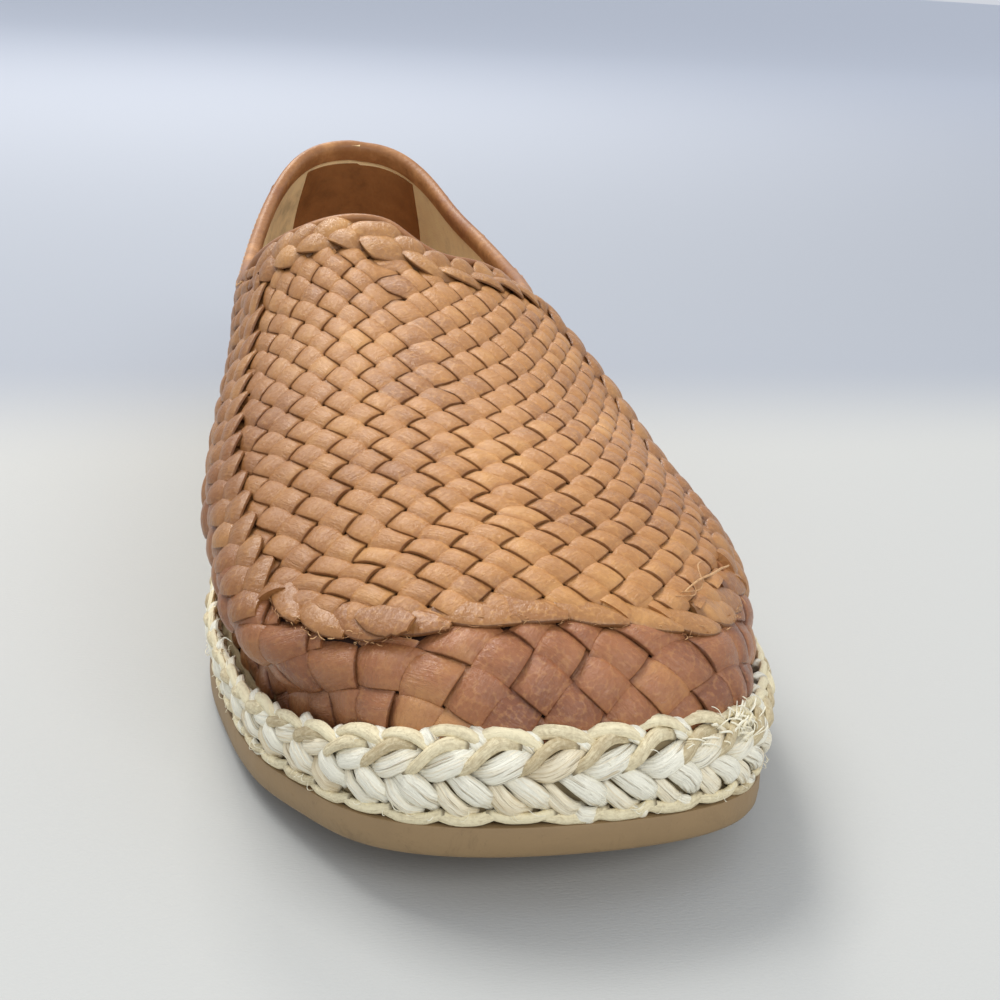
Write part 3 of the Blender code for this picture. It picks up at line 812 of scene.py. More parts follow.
def weave_apron(rng, first=-14, final=30, fine=7, cell=4.8):
    """Plain weave of strips at forty-five degrees over the instep and toe."""
    strips = Strips()
    t = np.arange(first * fine, final * fine + 1) / fine
    rim, border, front = throat_rim(), border_path(), front_edge(1.0)
    for family, turn, flare in ((SLASH, -1, 0.04), (BACKSLASH, 1, 0.065)):
        for line in range(first, final):
            drift = wobble(rng, len(t), 9, 0.025)
            centre = np.stack(apron_chart(*strip_cell(family, line, t, drift)), axis=1)
            inside = polygon_holds(APRON_OUTLINE, centre)
            if not inside.any():
                continue
            inside &= line_distance(rim, centre) > RIM_CLEARANCE
            inside &= line_distance(front, centre) > FRONT_CLEARANCE
            for start, stop in runs_inside(inside, 4):
                at = t[start:stop]
                n = len(at)
                lift = dive(turn * np.cos(math.pi * (at - 0.5 - line) - 0.22))
                over = np.maximum(lift, 0)
                wide = APRON_HALF + flare * lift + wobble(rng, n, 8, 0.008)
                across = drift[start:stop, None] + wide[:, None] * STRAP[None, :, 0]
                cells = strip_cell(family, line, at[:, None], across)
                point, normal = TOP_CHART(*apron_chart(*cells))
                near = line_distance(border, centre[start:stop])
                ridge = centre[start:stop, 0]
                tucked = 0.85 * smoothstep(6.5, 2.0, near) * (1 - smoothstep(150, 158, ridge))
                forward = smoothstep(85, 150, ridge)
                amount = APRON_SWING + 0.10 * forward + wobble(rng, n, 12, 0.04)
                rise = APRON_BASE - tucked + amount * lift + wobble(rng, n, 9, 0.05)
                face = STRAP[:, 1] > -0.3
                section = STRAP[:, 1] * np.where(face, (1.0 + 0.5 * over)[:, None], 1.0)
                tilt = wobble(rng, n, 10, 0.05) - turn * (0.10 + 0.14 * forward) * over
                height = rise[:, None] + section + tilt[:, None] * STRAP[:, 0]
                odd = (line % 2 == 0) != (family == SLASH)
                tone = float_tones(rng, np.floor(at - odd).astype(int) // 2, 0.13)
                strips.add(
                    point + normal * height[..., None], at * cell + 50 * line, across * cell,
                    # The last value paints shade where the strip dives under
                    across_edge(STRAP), tone, (0.5 - 0.5 * lift)[:, None],
                )
    return strips


def weave_wall(pitch, rng, low_run, high_run, pattern, fine=6, reach=48):
    """Plain weave of the wall between two runs, quarters and toe band alike."""
    strips = Strips()
    half = (pitch - STRIP_GAP) / 2
    root = math.sqrt(0.5)
    low_run = max(low_run, BACKSTAY_COVER - WALL_CHART.run[MEDIAL])
    high_run = min(high_run, WALL_CHART.run[LATERAL] - BACKSTAY_COVER)
    t = np.arange(-reach * fine, reach * fine + 1) / fine * pitch
    for turn in (1, -1):
        for i in range(-reach, reach + 1):
            across = (i + WALL_PHASE) * pitch + wobble(rng, len(t), 20, 0.22)
            a, b = (across, t) if turn == 1 else (t, across)
            flat = np.stack([(a + b) * root, (a - b) * root], axis=1)
            run, height = pattern.chart(flat).T
            top = edge_height(run) - 0.5 + in_vamp(run) * WALL_TUCK
            inside = (height > -WALL_FOOT) & (height < top)
            inside &= (run > low_run) & (run < high_run)
            for start, stop in runs_inside(inside, 4):
                n = stop - start
                cell = t[start:stop] / pitch - WALL_PHASE
                sign = turn if i % 2 == 0 else -turn
                lift = dive(sign * np.cos(math.pi * cell - 0.2 * turn))
                over = np.maximum(lift, 0)[:, None]
                wide = half * (1 + 0.05 * lift + wobble(rng, n, 8, 0.015))
                grid, width = grid_across(flat[start:stop], wide, STRAP)
                run, height = np.moveaxis(pattern.chart(grid), -1, 0)
                top = edge_height(run)
                vamp = in_vamp(run)
                height = np.clip(height, -4.0, np.where(vamp > 0.5, 200, top - 0.6))
                point, normal = WALL_CHART(run, height)
                foot = smoothstep(-0.5, 5, height)
                under = smoothstep(-2.5, 2.0, height - top) * vamp
                trim = smoothstep(6, 2, top - height) * (1 - vamp)
                size = (WALL_SWING + wobble(rng, n, 12, 0.07))[:, None]
                size = size * (0.45 + 0.55 * foot) * (1 - 0.4 * trim)
                rise = WALL_BASE + 0.2 * foot - 0.75 * under - 0.15 * trim + size * lift[:, None]
                rise = rise + wobble(rng, n, 9, 0.07)[:, None]
                tilt = wobble(rng, n, 10, 0.10)[:, None] - 0.20 * over
                pillow = 0.30 * over * (1 - STRAP[:, 0] ** 2)
                rise = rise + STRAP[:, 1] + pillow + tilt * STRAP[:, 0]
                tone = float_tones(rng, np.floor(cell + 0.5).astype(int), 0.16)
                strips.add(
                    point + normal * rise[..., None], np.arange(n) * pitch / fine + 40 * i, width,
                    # The last value paints shade where the strip dives under
                    across_edge(STRAP), tone, (0.5 - 0.5 * lift)[:, None],
                )
    return strips


def plait(path, cycle, rng, strips, swing=2.4, half=2.35, amount=0.62, base=0.95, strands=3):
    """Flat plait of leather strips along a line of the top chart."""
    line = resample(path, 0.75)
    n = len(line)
    length = arc_length(line)
    left = leftwards(headings(line))
    for k in range(strands):
        phase = 2 * math.pi * (length / cycle + k / strands)
        shift = swing * np.sin(phase) * (1 + wobble(rng, n, 16, 0.08))
        lift = crest(np.sin(2 * phase), 1.2)
        wide = half * (1 + 0.10 * lift + wobble(rng, n, 10, 0.06))
        rise = base + amount * lift + wobble(rng, n, 8, 0.08)
        lean = 0.30 * np.cos(phase)
        height = rise[:, None] + LEAF[:, 1] * 1.35 + lean[:, None] * LEAF[:, 0]
        floats = np.floor(2 * phase / (2 * math.pi)).astype(int)
        tone = 0.5 + 0.3 * rng.uniform(-1, 1, np.ptp(floats) + 1)[floats - floats.min()]
        strips.lay(
            TOP_CHART, line + left * shift[:, None], wide, LEAF, height,
            # The last value paints shade where a strand dives under
            length + 50 * k, tone[:, None], (0.5 - 0.5 * lift)[:, None],
        )


def throat_rim():
    """Edge of the throat on the top chart, from the medial seam to the lateral one."""
    return resample(np.concatenate([throat_chart(MEDIAL)[::-1], throat_chart(LATERAL)[1:]]), 1.0)


def border_path(inset=5.2):
    """Line of the plait: up the medial seam, round the throat and down the lateral seam."""
    rim = throat_rim()
    inner = rim - leftwards(headings(rim)) * inset
    inner = inner[line_distance(rim, inner) > inset - 0.1]
    inner = inner[polygon_holds(APRON_OUTLINE, inner)]
    seams = []
    for side in (MEDIAL, LATERAL):
        seam = resample(seam_chart(side, final=angle(PLAIT_END)), 1.0)
        seams.append(seam[line_distance(rim, seam) > inset])
    line = resample(np.concatenate([seams[0][::-1], inner, seams[1]]), 1.0)
    return soften(soften(line, 8), 5)


def front_edge(step=0.5):
    """Front edge of the apron on the top chart, from the medial corner round the toe."""
    medial = seam_chart(MEDIAL, first=angle(FRONT_MEDIAL))
    lateral = seam_chart(LATERAL, first=angle(FRONT_LATERAL))[::-1]
    return soften(resample(np.concatenate([medial, lateral[1:]]), step), 6)


def front_leaves(rng, strips, pitch=9.0, n=17):
    """Folded strip ends along the apron's front edge, each tail over the start of the next."""
    line = front_edge()
    length = arc_length(line)
    out = -leftwards(headings(line))
    share = np.linspace(0, 1, n)
    outline_share = np.sin(math.pi * (0.10 + 0.84 * share)) ** 0.8
    fold = 0.40 + 0.50 * smoothstep(0, 0.35, share) + 0.60 * share**1.5
    fold = fold - 0.45 * smoothstep(0.82, 1.0, share)
    lean = 0.05 - 0.65 * share
    # Painted shade at each leaf's start, tucked under the one before, and at its tail
    dark = np.maximum(smoothstep(0.30, 0.05, share), 0.6 * smoothstep(0.94, 1.0, share))
    # The lower edge gets full edge darkening: painted shade under the leaf's overhang
    rim = np.abs(STRAP[:, 0]) + 0.06 * (STRAP[:, 0] < -0.9)
    for k in range(int(length[-1] / pitch) - 1):
        first = k * pitch + rng.uniform(-0.9, 0.9)
        reach = pitch * rng.uniform(1.28, 1.45)
        along = np.clip(first + reach * share, 0, length[-1])
        lateral = smoothstep(0.30, 0.75, (first + reach / 2) / length[-1])
        away = -5.0 + 2.7 * lateral + 4.0 * share - 0.6 * share**2 + rng.uniform(-0.35, 0.35)
        centre = follow(line, length, along) + follow(out, length, along) * away[:, None]
        wide = (2.3 + rng.uniform(-0.3, 0.3)) * (0.10 + 0.90 * outline_share)
        rise = fold + wobble(rng, n, 5, 0.06)
        height = rise[:, None] + STRAP[:, 1] + 0.10 * (1 - STRAP[:, 0] ** 2)
        height = height + lean[:, None] * STRAP[:, 0] * (wide / 2.4)[:, None]
        tone = np.clip(rng.normal(0.42, 0.2), 0, 1)
        strips.lay(
            TOP_CHART, centre, wide, STRAP, height,
            along * 0.35 + 50 * k, tone, dark[:, None], rim[None, :],
        )


# Middle line of the torn tab on the top chart
TORN_TAB_PATH = np.array([(155.6, -28.2), (158.6, -24.9), (161.9, -21.2)])


def torn_tab(rng, strips, n=14):
    """Short torn strip end that stands up at the medial corner of the front edge."""
    share = np.linspace(0, 1, n)
    centre = follow(TORN_TAB_PATH, np.array([0, 0.5, 1]), share)
    half = np.interp(share, (0, 0.2, 0.55, 0.85, 1), (1.1, 1.9, 2.5, 1.9, 1.2))
    half = half + rng.normal(0, 0.08, n)
    rise = 1.7 + 1.6 * share**1.6
    height = rise[:, None] + STRAP[:, 1] - 0.35 * STRAP[:, 0] + rng.normal(0, 0.05, (n, 1))
    strips.lay(TOP_CHART, centre, half, STRAP, height, 8 * share, 0.08, 0.0)


def hair(strips, chart, knots, radius, tone):
    """Thin thread through places of a chart: first and second coordinate and height."""
    knots = np.asarray(knots, float)
    length = arc_length(knots)
    even = np.linspace(0, length[-1], max(int(length[-1] / 0.6), 6))
    table = np.column_stack([length, knots])
    path = np.stack([spline(table, c + 1, even) for c in range(3)], axis=1)
    taper = np.sin(math.pi * np.linspace(0.08, 0.92, len(even))) ** 0.5
    thin = radius * (0.35 + 0.65 * taper)
    height = path[:, 2:3] + thin[:, None] * FIBRE[:, 1]
    strips.lay(chart, path[:, :2], thin, FIBRE, height, even, tone, 0.0, np.zeros((1, 1)))


# Loose threads at the lateral corner: their places on the top chart with height, radius, tone
LOOSE_THREADS = (
    (((156.9, 22.0, 1.4), (154.0, 25.0, 2.4), (150.7, 28.8, 2.6), (146.0, 33.6, 2.2),
      (141.0, 38.2, 1.5)), 0.17, 0.7),
    (((157.3, 21.2, 1.3), (154.8, 25.6, 2.0), (149.6, 27.0, 2.5), (146.4, 30.4, 1.8)), 0.11, 0.6),
    (((158.6, 19.6, 1.2), (157.2, 23.4, 1.9), (154.2, 24.4, 1.7)), 0.09, 0.5),
)


def leather_frays(rng, count=230):
    """Loose threads and frayed fibres along the apron's front edge."""
    strips = Strips()
    for knots, radius, tone in LOOSE_THREADS:
        hair(strips, TOP_CHART, knots, radius, tone)
    line = front_edge(1.0)
    run = headings(line)
    out = -leftwards(run)
    for _ in range(count):
        i = int(rng.integers(3, len(line) - 4))
        lateral = smoothstep(0.30, 0.75, i / len(line))
        root = line[i] + out[i] * (-3.0 + 2.8 * lateral + 2.0 + rng.uniform(-1.1, 0.5))
        way = run[i] * rng.choice([-1, 1]) * rng.uniform(0.5, 1.0)
        way = way + out[i] * rng.uniform(-0.2, 0.55)
        bend = np.array([-way[1], way[0]]) * rng.uniform(-0.35, 0.35)
        reach = rng.uniform(0.6, 1.7)
        low = rng.uniform(0.5, 1.4)
        knots = [
            (*root, low),
            (*(root + (way + bend) * reach * 0.5), low + rng.uniform(0, 0.5)),
            (*(root + way * reach), low + rng.uniform(-0.4, 0.6)),
        ]
        hair(strips, TOP_CHART, knots, rng.uniform(0.035, 0.07), rng.uniform(0.0, 0.8))
    return strips


def raffia_frays(rng, tuft_count=46, hair_count=260):
    """Fibres standing off the raffia: a tuft at the lateral front and hairs along both edges."""
    strips = Strips()
    tuft = SIDE_CHART.half - 27.0
    for _ in range(tuft_count):
        run, high = tuft + rng.normal(0, 3.0), rng.uniform(2.5, 6.0)
        ahead, up = rng.uniform(-4.5, 4.5), rng.uniform(0.5, 2.6)
        knots = [
            (run, high, 0.8), (run + 0.5 * ahead, high + 0.6 * up, 1.9),
            (run + ahead, high + 0.8 * up, 2.0 + rng.uniform(-0.8, 0.4)),
        ]
        hair(strips, SIDE_CHART, knots, rng.uniform(0.07, 0.17), rng.uniform(0.4, 1.0))
    for k in range(hair_count):
        run = rng.uniform(0, SIDE_CHART.length)
        top = k % 3 == 0
        high = rng.uniform(2.0, 4.0) if top else rng.uniform(-5.0, -3.0)
        ahead = rng.uniform(-2.6, 2.6)
        away = rng.uniform(0.2, 0.9) * (1 if top else -1)
        knots = [
            (run, high, 0.9), (run + 0.5 * ahead, high + away, 1.5),
            (run + ahead, high + 1.2 * away, rng.uniform(0.5, 1.5)),
        ]
        hair(strips, SIDE_CHART, knots, rng.uniform(0.035, 0.075), rng.uniform(0.2, 0.9))
    return strips


def binding_stitches(points, out, up, share, wide, pitch=3.1, reach=2.1, radius=0.24):
    """Short stitches along the lower edge of the binding round the quarters."""
    strips = Strips()
    length = arc_length(points)
    lower = points - up * (wide - 1.1) + out * 1.0
    arch = 0.16 * np.sin(math.pi * np.linspace(0.0, 1.0, 6)) - 0.08
    for first in np.arange(2.0, length[-1] - 4, pitch):
        if np.interp(first, length, share) > 0.35:
            continue
        along = first + np.linspace(0, reach, 6)
        away = unit(follow(out, length, along))
        across = unit(follow(up, length, along))
        centre = follow(lower, length, along) + away * arch[:, None]
        ring = across[:, None, :] * FIBRE[:, 0:1] + away[:, None, :] * FIBRE[:, 1:2]
        rings = centre[:, None, :] + radius * ring
        strips.add(rings, along, radius * FIBRE[None, :, 0], np.zeros((1, 1)), 0.7, 0.0)
    return strips


class SideChart(Chart):
    """The foxing's face: run round the sole from the heel's back, height from its middle."""

    STEP = 0.4
    OUTWARD = -1
    OUT = 0.5
    INSET = 0.35
    LEAN_UP = 3.1
    LEAN_DOWN = 0.9

    def __init__(self):
        self.theta = np.linspace(0, math.pi, 1501)
        self.arc = {
            side: arc_length(np.stack(outline(self.theta, side, -self.OUT), axis=1))
            for side in (LATERAL, MEDIAL)
        }
        self.half = self.arc[LATERAL][-1]
        self.length = self.half + self.arc[MEDIAL][-1]

    def point(self, run, height):
        run = np.mod(run, self.length)
        lateral = run < self.half
        theta = np.where(
            lateral,
            np.interp(run, self.arc[LATERAL], self.theta),
            np.interp(self.length - run, self.arc[MEDIAL], self.theta),
        )
        share = height / (PLAIT_HEIGHT / 2)
        inset = self.INSET + np.where(share > 0, self.LEAN_UP, self.LEAN_DOWN) * share**2
        at, x = outline(theta, np.where(lateral, LATERAL, MEDIAL), inset)
        return np.stack([at, x, ledge(at) + UPPER_GAP + PLAIT_HEIGHT / 2 + height], axis=-1)


SIDE_CHART = SideChart()


# Pieces of strand seen in one step of the raffia plait: kind, half width, thickness, how far its
# middle and its two ends stand out, tone, share of the steps that show it, path (along, up)
PLAIT_PARTS = (
    ("leaf", 1.85, 1.15, 0.55, -0.9, -0.2, 0.70, 1.0,
     ((-0.6, 1.0), (2.6, 1.7), (5.3, 2.6), (8.4, 3.8))),
    ("cord", 0.92, 1.0, 0.80, -0.5, -0.2, 0.40, 1.0,
     ((-2.6, 1.2), (-0.3, 2.3), (1.7, 3.6), (4.0, 4.4), (7.0, 4.3))),
    ("cord", 0.74, 1.0, 0.90, -0.2, 0.1, 0.85, 1.0,
     ((-1.6, 5.0), (2.0, 5.55), (5.0, 5.5), (7.4, 4.9), (10.0, 3.7))),
    ("leaf", 1.50, 1.0, 0.60, -0.4, -0.4, 0.95, 1.0,
     ((-2.6, 5.5), (-0.8, 5.3), (0.7, 4.6), (2.2, 3.5))),
    ("leaf", 1.95, 1.25, 0.72, -0.7, -0.5, 0.90, 1.0,
     ((-3.9, 1.2), (-0.7, -0.3), (1.3, -1.9), (3.2, -4.1))),
    ("leaf", 1.55, 1.10, 0.35, -0.8, -0.7, 0.20, 1.0,
     ((-6.0, -0.2), (-3.7, -2.4), (-1.7, -4.1), (0.8, -5.2))),
    ("cord", 0.85, 1.0, 0.38, -0.3, -0.3, 0.75, 1.0,
     ((1.6, -5.3), (5.4, -5.6), (8.8, -5.5), (12.2, -4.9))),
    ("leaf", 1.15, 1.0, 0.50, -0.6, -0.6, 0.80, 0.75,
     ((-1.6, -4.4), (0.2, -5.3), (1.8, -5.7), (3.4, -5.7))),
)


# Rise of the plait's top edge by distance round the sole from the toe: distance, lateral, medial
TOP_RISE = np.array([
    (0, 1.3, 1.3), (22, 1.4, 1.3), (30, 0.9, 0.8), (36, 0.4, 0.0), (44, -0.2, -1.3),
    (50, -0.6, -1.8), (60, -1.0, -2.4), (70, -1.2, -2.9), (82, -1.2, -3.4),
    (95, -1.2, -3.2), (115, -1.0, -2.2), (150, -0.5, -0.8), (400, -0.3, -0.3),
])


def plait_top(run):
    """How much higher the plait's top edge lies than its usual place."""
    around = np.mod(run, SIDE_CHART.length)
    away = np.abs(around - SIDE_CHART.half)
    medial = around > SIDE_CHART.half
    return np.where(medial, spline(TOP_RISE, 2, away), spline(TOP_RISE, 1, away))


def plait_raffia(steps, rng, n=12):
    """Round-the-sole plait, step by step: plump leaves and thin cords tuck under each other."""
    kinds = {"leaf": Strips(), "cord": Strips()}
    step = SIDE_CHART.length / steps
    share = np.linspace(0, 1, n)
    # Painted shade at both ends of each piece, where it tucks under its neighbours
    dark = 1 - smoothstep(-0.04, 0.2, share) * smoothstep(1.04, 0.84, share)
    for kind, half, thick, middle, start, end, tone, often, path in PLAIT_PARTS:
        knots = np.column_stack([np.linspace(0, 1, len(path)), np.array(path)])
        along = spline(knots, 1, share) * (step / DRAWN_STEP)
        up = spline(knots, 2, share)
        taper = 0.38 + 0.62 * np.sin(math.pi * (0.08 + 0.84 * share)) ** 0.6
        section = LEAF
        if kind == "cord":
            taper = 0.8 + 0.2 * taper
            section = CORD * np.array([1.0, 0.85])
        arch = start + (middle - start) * smoothstep(0, 0.34, share)
        arch = arch - (middle - end) * smoothstep(0.66, 1.0, share)
        for k in range(steps):
            if rng.uniform() > often:
                continue
            u = along + k * step + rng.normal(0, 0.22) + wobble(rng, n, 5, 0.10)
            v = up + rng.normal(0, 0.16) + wobble(rng, n, 5, 0.10)
            v = v + plait_top(-u) * smoothstep(0.0, 5.5, v)
            wide = half * taper * rng.uniform(0.88, 1.12) * (1 + wobble(rng, n, 4, 0.05))
            rise = arch * rng.uniform(0.85, 1.15) + wobble(rng, n, 5, 0.07)
            if kind == "leaf":
                crown = 0.18 * (1 - section[:, 0] ** 2) * arch[:, None].clip(0)
                bulge = section[None, :, 1] * thick + crown
            else:
                bulge = section[None, :, 1] * wide[:, None]
            height = rise[:, None] + bulge + rng.normal(0, 0.12) * section[None, :, 0]
            kinds[kind].lay(
                SIDE_CHART, np.stack([-u, v], axis=1), wide, section, height,
                u + 30 * k, float(np.clip(tone + rng.normal(0, 0.18), 0, 1)), dark[:, None],
            )
    return kinds["leaf"], kinds["cord"]


def opening_loop(step=1.2):
    """Edge of the opening: points, outward normals, edge directions and the throat's share."""
    whole = WALL_CHART.run[LATERAL] + WALL_CHART.run[MEDIAL]
    runs = np.arange(THROAT_RUN[LATERAL], whole - THROAT_RUN[MEDIAL], step)
    wall, wall_out = WALL_CHART(runs, edge_height(runs))
    line = np.concatenate([throat_chart(MEDIAL, 60)[::-1], throat_chart(LATERAL, 60)[1:]])
    line = resample(line, step)[1:]
    top, top_out = TOP_CHART(line[:, 0], line[:, 1])
    share = np.concatenate([np.zeros(len(wall)), np.ones(len(top))])
    share = soften(share[:, None], 6, closed=True)[:, 0]
    points = soften(np.concatenate([wall, top]), 3, closed=True)
    out = unit(soften(np.concatenate([wall_out, top_out]), 5, closed=True))
    along = unit(np.roll(points, -1, axis=0) - np.roll(points, 1, axis=0))
    return points, out, unit(np.cross(out, along)), share


def grid_piece(name, points):
    """Grid primitive whose vertices are put in their places; rows run along the first index."""
    rows, columns = points.shape[:2]
    bpy.ops.object.select_all(action="DESELECT")
    bpy.ops.mesh.primitive_grid_add(x_subdivisions=rows - 1, y_subdivisions=columns - 1, size=1.0)
    obj = bpy.context.object
    obj.name = obj.data.name = name
    order = points.transpose(1, 0, 2).reshape(-1, 3)
    obj.data.vertices.foreach_set("co", place(order).astype(np.float32).ravel())
    obj.data.update()
    return obj


def sheet_points(theta, share, side, offset):
    """Points of the last at angles and arch parameters, moved along their outward normals."""
    theta = np.broadcast_to(theta[:, None], share.shape)
    step = 0.004
    inner = np.clip(theta, 3 * step, math.pi - 3 * step)
    inner_share = np.clip(share, 3 * step, 0.985)
    along = last(inner + step, inner_share, side) - last(inner - step, inner_share, side)
    up = last(inner, inner_share + step, side) - last(inner, inner_share - step, side)
    normal = unit(side * np.cross(up, along))
    middle = (theta < TINY) | (theta > math.pi - TINY) | (share > 1 - TINY)
    normal[..., 1] = np.where(middle, 0.0, normal[..., 1])
    return last(theta, share, side) + unit(normal) * offset


def shell_sheet(name, offset):
    """Sheet through the whole wall and top, open at the foot and the opening."""
    quarters, front = np.linspace(0, THROAT, 40), np.linspace(THROAT, math.pi, 60)
    theta = np.unique(np.concatenate([quarters, front]))
    vamp = theta >= THROAT - TINY
    rows = np.linspace(0, 1, 15)
    objects = []
    for side in (LATERAL, MEDIAL):
        low = edge_share(theta, side)[:, None]
        top = low[vamp] + (1 - low[vamp]) * rows
        for angles, share in ((theta, low * rows), (theta[vamp], top)):
            objects.append(grid_piece(name, sheet_points(angles, share, side, offset)))
    for other in objects:
        other.select_set(True)
    bpy.context.view_layer.objects.active = objects[0]
    bpy.ops.object.join()
    obj = bpy.context.object
    obj.name = obj.data.name = name
    face_outward(obj, weld=0.06)
    return obj


def thicken(obj, thickness, **settings):
    """Gives a sheet its thickness in millimetres and smooths it."""
    select_only(obj)
    modifier = obj.modifiers.new("Thickness", "SOLIDIFY")
    modifier.thickness = thickness * MM
    for key, value in settings.items():
        setattr(modifier, key, value)
    bpy.ops.object.modifier_apply(modifier=modifier.name)
    smooth(obj, 50)


def stack_rings(name, loops, capped=True):
    """Circle primitive set on the first loop, then its edge extruded from loop to loop."""
    bpy.ops.object.select_all(action="DESELECT")
    bpy.ops.mesh.primitive_circle_add(vertices=len(loops[0]), radius=1.0, fill_type="NOTHING")
    obj = bpy.context.object
    obj.name = obj.data.name = name
    bpy.ops.object.mode_set(mode="EDIT")
    bpy.ops.mesh.select_all(action="SELECT")
    mesh = bmesh.from_edit_mesh(obj.data)
    mark = mesh.verts.layers.int.new("place")
    for i, vertex in enumerate(mesh.verts):
        vertex[mark] = i
    for k, loop in enumerate(loops):
        if k:
            bpy.ops.mesh.extrude_edges_move()
        world = place(loop)
        mesh = bmesh.from_edit_mesh(obj.data)
        mark = mesh.verts.layers.int["place"]
        for vertex in mesh.verts:
            if vertex.select:
                vertex.co = world[vertex[mark]]
    if capped:
        bpy.ops.mesh.edge_face_add()
        bpy.ops.mesh.select_all(action="DESELECT")
        for edge in bmesh.from_edit_mesh(obj.data).edges:
            if edge.is_boundary:
                edge.select_set(True)
        bpy.ops.mesh.edge_face_add()
    bpy.ops.mesh.select_all(action="SELECT")
    bpy.ops.mesh.normals_make_consistent(inside=False)
    bpy.ops.object.mode_set(mode="OBJECT")
    obj.data.attributes.remove(obj.data.attributes["place"])
    return obj


def sole_loop(inset, height, count=220):
    """Closed loop round the sole: heel, lateral side, toe, medial side."""
    theta = np.linspace(0, math.pi, count)
    halves = []
    for side, angles in ((LATERAL, theta), (MEDIAL, theta[-2:0:-1])):
        at, x = outline(angles, side, inset)
        halves.append(np.stack([at, x, height(at)], axis=1))
    return np.concatenate(halves)


def core_loop(inset, share):
    """Loop of the plait's backing at a share of its height, under the plait's own top edge."""
    loop = sole_loop(inset, lambda at: ledge(at) + share * PLAIT_HEIGHT)
    theta = np.linspace(0, math.pi, 220)
    arc = SIDE_CHART.arc
    run = np.concatenate([
        np.interp(theta, SIDE_CHART.theta, arc[LATERAL]),
        SIDE_CHART.length - np.interp(theta[-2:0:-1], SIDE_CHART.theta, arc[MEDIAL]),
    ])
    loop[:, 2] += (plait_top(run) - 0.8) * smoothstep(0.2, 0.93, share)
    return loop


def tint(red, green, blue):
    """Display colour, 0 to 255, as a linear colour."""
    values = np.array([red, green, blue]) / 255
    linear = np.where(values <= 0.04045, values / 12.92, ((values + 0.055) / 1.055) ** 2.4)
    return (*linear.tolist(), 1.0)


def scaled(colour, factor):
    """Colour made lighter or darker."""
    return [min(factor * value, 1.0) for value in colour[:3]] + [1.0]


class Value:
    """A number in a material; arithmetic on it adds Math nodes."""

    def __init__(self, shade, link):
        self.shade = shade
        self.link = link

    def math(self, operation, first, second):
        return self.shade.node("ShaderNodeMath", {"operation": operation}, {0: first, 1: second})

    def __add__(self, other):
        return self.math("ADD", self, other)

    def __mul__(self, other):
        return self.math("MULTIPLY", self, other)

    def __sub__(self, other):
        return self.math("SUBTRACT", self, other)

    def __rsub__(self, other):
        return self.math("SUBTRACT", other, self)

    __radd__ = __add__
    __rmul__ = __mul__

    def step(self, low, high):
        """Rises smoothly from 0 at low to 1 at high."""
        inputs = {"Value": self, "From Min": low, "From Max": high}
        return self.shade.node("ShaderNodeMapRange", {"interpolation_type": "SMOOTHSTEP"}, inputs)


class Shade:
    """Node tree of one material."""

    def __init__(self, name):
        self.material = bpy.data.materials.new(name)
        self.material.use_nodes = True
        self.tree = self.material.node_tree
        self.shader = self.tree.nodes["Principled BSDF"]

    def node(self, kind, settings=None, inputs=None, output=0):
        """Adds a node and gives one of its outputs."""
        node = self.tree.nodes.new(kind)
        for key, value in (settings or {}).items():
            setattr(node, key, value)
        for key, value in (inputs or {}).items():
            self.put(node.inputs[key], value)
        return Value(self, node.outputs[output])

    def put(self, socket, value):
        if isinstance(value, Value):
            self.tree.links.new(value.link, socket)
        else:
            socket.default_value = value

    def set(self, **inputs):
        for key, value in inputs.items():
            self.put(self.shader.inputs[key.replace("_", " ")], value)

    def attribute(self, name):
        return self.node("ShaderNodeAttribute", {"attribute_name": name}, output="Fac")

    def place(self):
        return self.node("ShaderNodeTexCoord", output="Object")

    def surface(self):
        return self.node("ShaderNodeTexCoord", output="UV")

    def part_of(self, vector, axis):
        return self.node("ShaderNodeSeparateXYZ", None, {0: vector}, axis)

    def stretched(self, vector, x=1.0, y=1.0, z=1.0):
        return self.node("ShaderNodeMapping", None, {"Vector": vector, "Scale": (x, y, z)})

    def noise(self, vector, scale, detail=2.0, rough=0.5, distort=0.0):
        inputs = {
            "Vector": vector, "Scale": scale, "Detail": detail, "Roughness": rough,
            "Distortion": distort,
        }
        return self.node("ShaderNodeTexNoise", None, inputs)

    def cells(self, vector, scale):
        inputs = {"Vector": vector, "Scale": scale}
        return self.node("ShaderNodeTexVoronoi", {"feature": "F1"}, inputs, "Distance")

    def mix(self, factor, one, two):
        settings = {"data_type": "RGBA", "clamp_factor": True}
        return self.node("ShaderNodeMix", settings, {0: factor, 6: one, 7: two}, 2)

    def layers(self, colour, *coats):
        """Lays colours over one another, each by its own factor."""
        for factor, coat in coats:
            colour = self.mix(factor, colour, coat)
        return colour

    def bump(self, height, distance, strength):
        inputs = {"Height": height, "Distance": distance * MM, "Strength": strength}
        return self.node("ShaderNodeBump", None, inputs)

    def finish(self, colour, roughness, normal, specular=0.5):
        """Sets the surface and gives the material."""
        self.set(Base_Color=colour, Roughness=roughness, Normal=normal)
        self.set(Specular_IOR_Level=specular)
        return self.material


